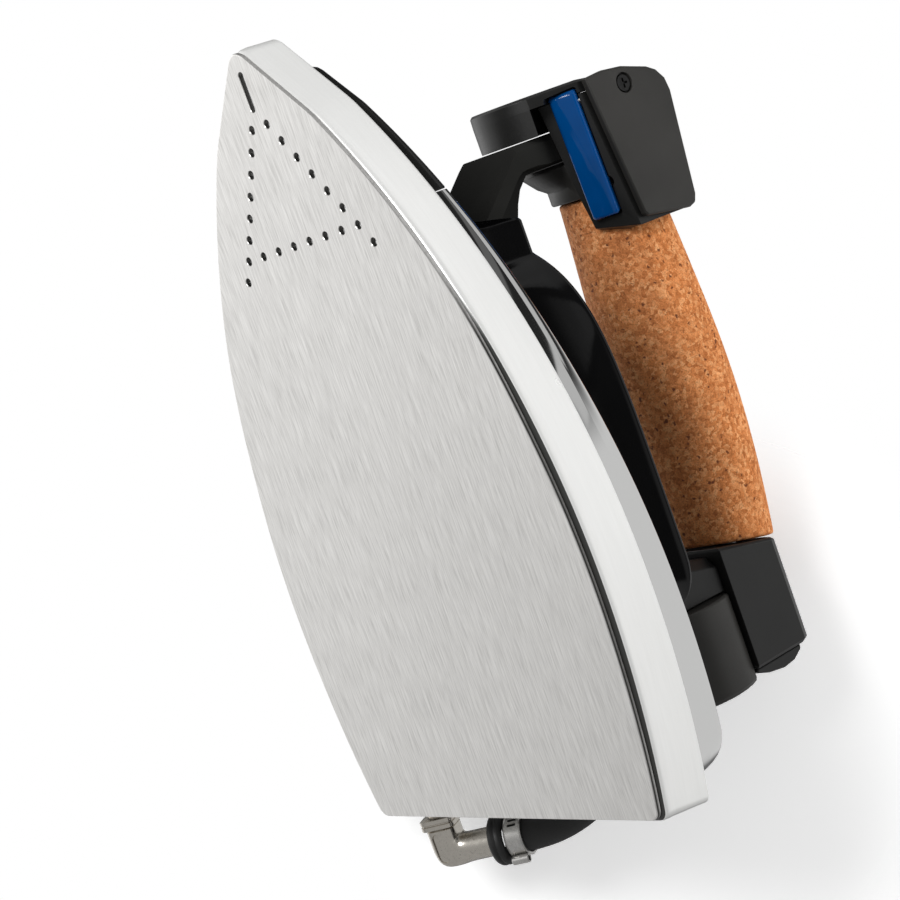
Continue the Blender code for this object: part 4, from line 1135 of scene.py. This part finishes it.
def floors():
    """The ground under the sole, and the table that the iron leans its side on."""
    stage_plane("ground", (0, 0, -0.0006), (0, 0, 1), 6.0, one_sided("ground", 0.42, 0.62))
    normal = Vector((0.901, 0.0, -0.434))
    touch = place(-66.5, 152.0, 16.0)
    centre = place(-29.0, 229.0, 92.0)
    centre -= normal * (centre - touch).dot(normal)
    stage_plane("table", centre - normal * 0.002, normal, 0.4, one_sided("table", 0.10, 1.25, 0.105))


def softbox(name, centre, target, size, power):
    light = bpy.data.lights.new(name, "AREA")
    light.shape = "RECTANGLE"
    light.size, light.size_y = size
    light.energy = power
    obj = linked(name, light)
    obj.location = centre
    obj.rotation_euler = (Vector(target) - Vector(centre)).to_track_quat("-Z", "Y").to_euler()
    return obj


def seen(right, up, toward):
    """A place given from the middle of the iron along the reference view's own directions."""
    middle = Vector((0.0, 0.0, 0.045))
    return middle + VIEW_RIGHT * right + VIEW_UP * up - VIEW_FORWARD * toward


def lights():
    """A key light near the reference camera, and a side light that shows in no reflection."""
    middle = seen(0, 0, 0)
    softbox("key", seen(-0.56, 0.36, 0.98), middle, (0.36, 0.36), 8.5)
    side = softbox("side", Vector((0.55, -0.1, 0.8)) * 1.05, middle, (0.5, 0.5), 8.0)
    side.visible_glossy = False


def studio():
    """White backdrop for the camera; the metal mirrors a room made of soft-edged regions."""
    world = bpy.data.worlds.new("studio")
    bpy.context.scene.world = world
    world.use_nodes = True
    tree = world.node_tree
    tree.nodes.clear()
    coordinates = tree.nodes.new("ShaderNodeTexCoord")

    def along(direction):
        dot = tree.nodes.new("ShaderNodeVectorMath")
        dot.operation = "DOT_PRODUCT"
        tree.links.new(coordinates.outputs["Generated"], dot.inputs[0])
        dot.inputs[1].default_value = direction
        return dot.outputs["Value"]

    def spanned(value, start, end, low=0.0, high=1.0):
        span = tree.nodes.new("ShaderNodeMapRange")
        span.interpolation_type = "SMOOTHSTEP"
        for socket, number in zip(("From Min", "From Max", "To Min", "To Max"), (start, end, low, high)):
            span.inputs[socket].default_value = number
        tree.links.new(value, span.inputs["Value"])
        return span.outputs["Result"]

    def joined(operation, first, second):
        node = tree.nodes.new("ShaderNodeMath")
        node.operation = operation
        for socket, value in zip(node.inputs, (first, second)):
            if isinstance(value, (int, float)):
                socket.default_value = value
            else:
                tree.links.new(value, socket)
        return node.outputs["Value"]

    def laid(under, over, share):
        node = tree.nodes.new("ShaderNodeMix")
        for socket, value in zip(("Factor", "A", "B"), (share, under, over)):
            if isinstance(value, (int, float)):
                node.inputs[socket].default_value = value
            else:
                tree.links.new(value, node.inputs[socket])
        return node.outputs["Result"]

    def times(first, second):
        return joined("MULTIPLY", first, second)

    def window(value, low, high, edge):
        return times(spanned(value, low - edge, low + edge), spanned(value, high + edge, high - edge))

    side, back, top = along((1, 0, 0)), along((0, 1, 0)), along((0, 0, 1))
    level = laid(0.45, 0.14, times(spanned(side, -0.2, -0.5), spanned(top, 0.1, 0.4)))
    ceiling = spanned(back, -0.16, -0.03, 0.02, 0.62)
    for centre, half, tilt, brightness in ((-0.27, 0.05, 0.30, 0.5), (-0.40, 0.03, 0.12, 0.12)):
        leaned = joined("SUBTRACT", back, times(side, tilt))
        bar = times(window(leaned, centre - half, centre + half, 0.006), window(side, -0.35, 0.45, 0.02))
        ceiling = laid(ceiling, brightness, bar)
    level = laid(level, ceiling, spanned(top, 0.68, 0.75))
    wall = times(window(top, 0.36, 0.67, 0.07), spanned(side, 0.2, 0.5))
    level = laid(level, 0.86, wall)
    skirting = times(window(top, -0.14, 0.27, 0.05), spanned(side, 0.5, 0.65))
    level = laid(level, 0.05, skirting)
    below = spanned(along((-0.81, 0.0, -0.585)), 0.45, 0.9)
    level = laid(level, spanned(along((0.0, -0.64, 0.77)), -0.85, -0.15, 0.36, 1.5), below)
    around = tree.nodes.new("ShaderNodeBackground")
    tree.links.new(level, around.inputs["Strength"])
    white = tree.nodes.new("ShaderNodeBackground")
    white.inputs["Strength"].default_value = 1.0
    for node in (around, white):
        node.inputs["Color"].default_value = (1.0, 1.0, 1.0, 1.0)
    path = tree.nodes.new("ShaderNodeLightPath")
    pick = tree.nodes.new("ShaderNodeMixShader")
    output = tree.nodes.new("ShaderNodeOutputWorld")
    tree.links.new(path.outputs["Is Camera Ray"], pick.inputs["Fac"])
    tree.links.new(around.outputs[0], pick.inputs[1])
    tree.links.new(white.outputs[0], pick.inputs[2])
    tree.links.new(pick.outputs[0], output.inputs["Surface"])


def camera():
    data = bpy.data.cameras.new("camera")
    data.sensor_width = SENSOR
    data.lens = CAMERA_LENS
    data.clip_start = 0.01
    data.clip_end = 50.0
    obj = linked("camera", data)
    turn = Matrix((VIEW_RIGHT, VIEW_UP, -VIEW_FORWARD)).transposed()
    obj.matrix_world = Matrix.Translation(CAMERA_PLACE) @ turn.to_4x4()
    bpy.context.scene.camera = obj
    bpy.context.scene.view_settings.view_transform = "Standard"


camera()
hose()
dress_frame()
casting()
sole_face()
shell("cover_fine", "body_cover", 50.2, None, 14.0, LOOKS["chrome_cover"])
shell("nose_fine", "nose_cover", None, 49.9, None, LOOKS["nose_black"], nose=True)
heat_shield()
cork_grip()
inlet_fitting()
elbow()
ring_and_clamp()
plastic_parts()
return_spring()
floors()
lights()
studio()
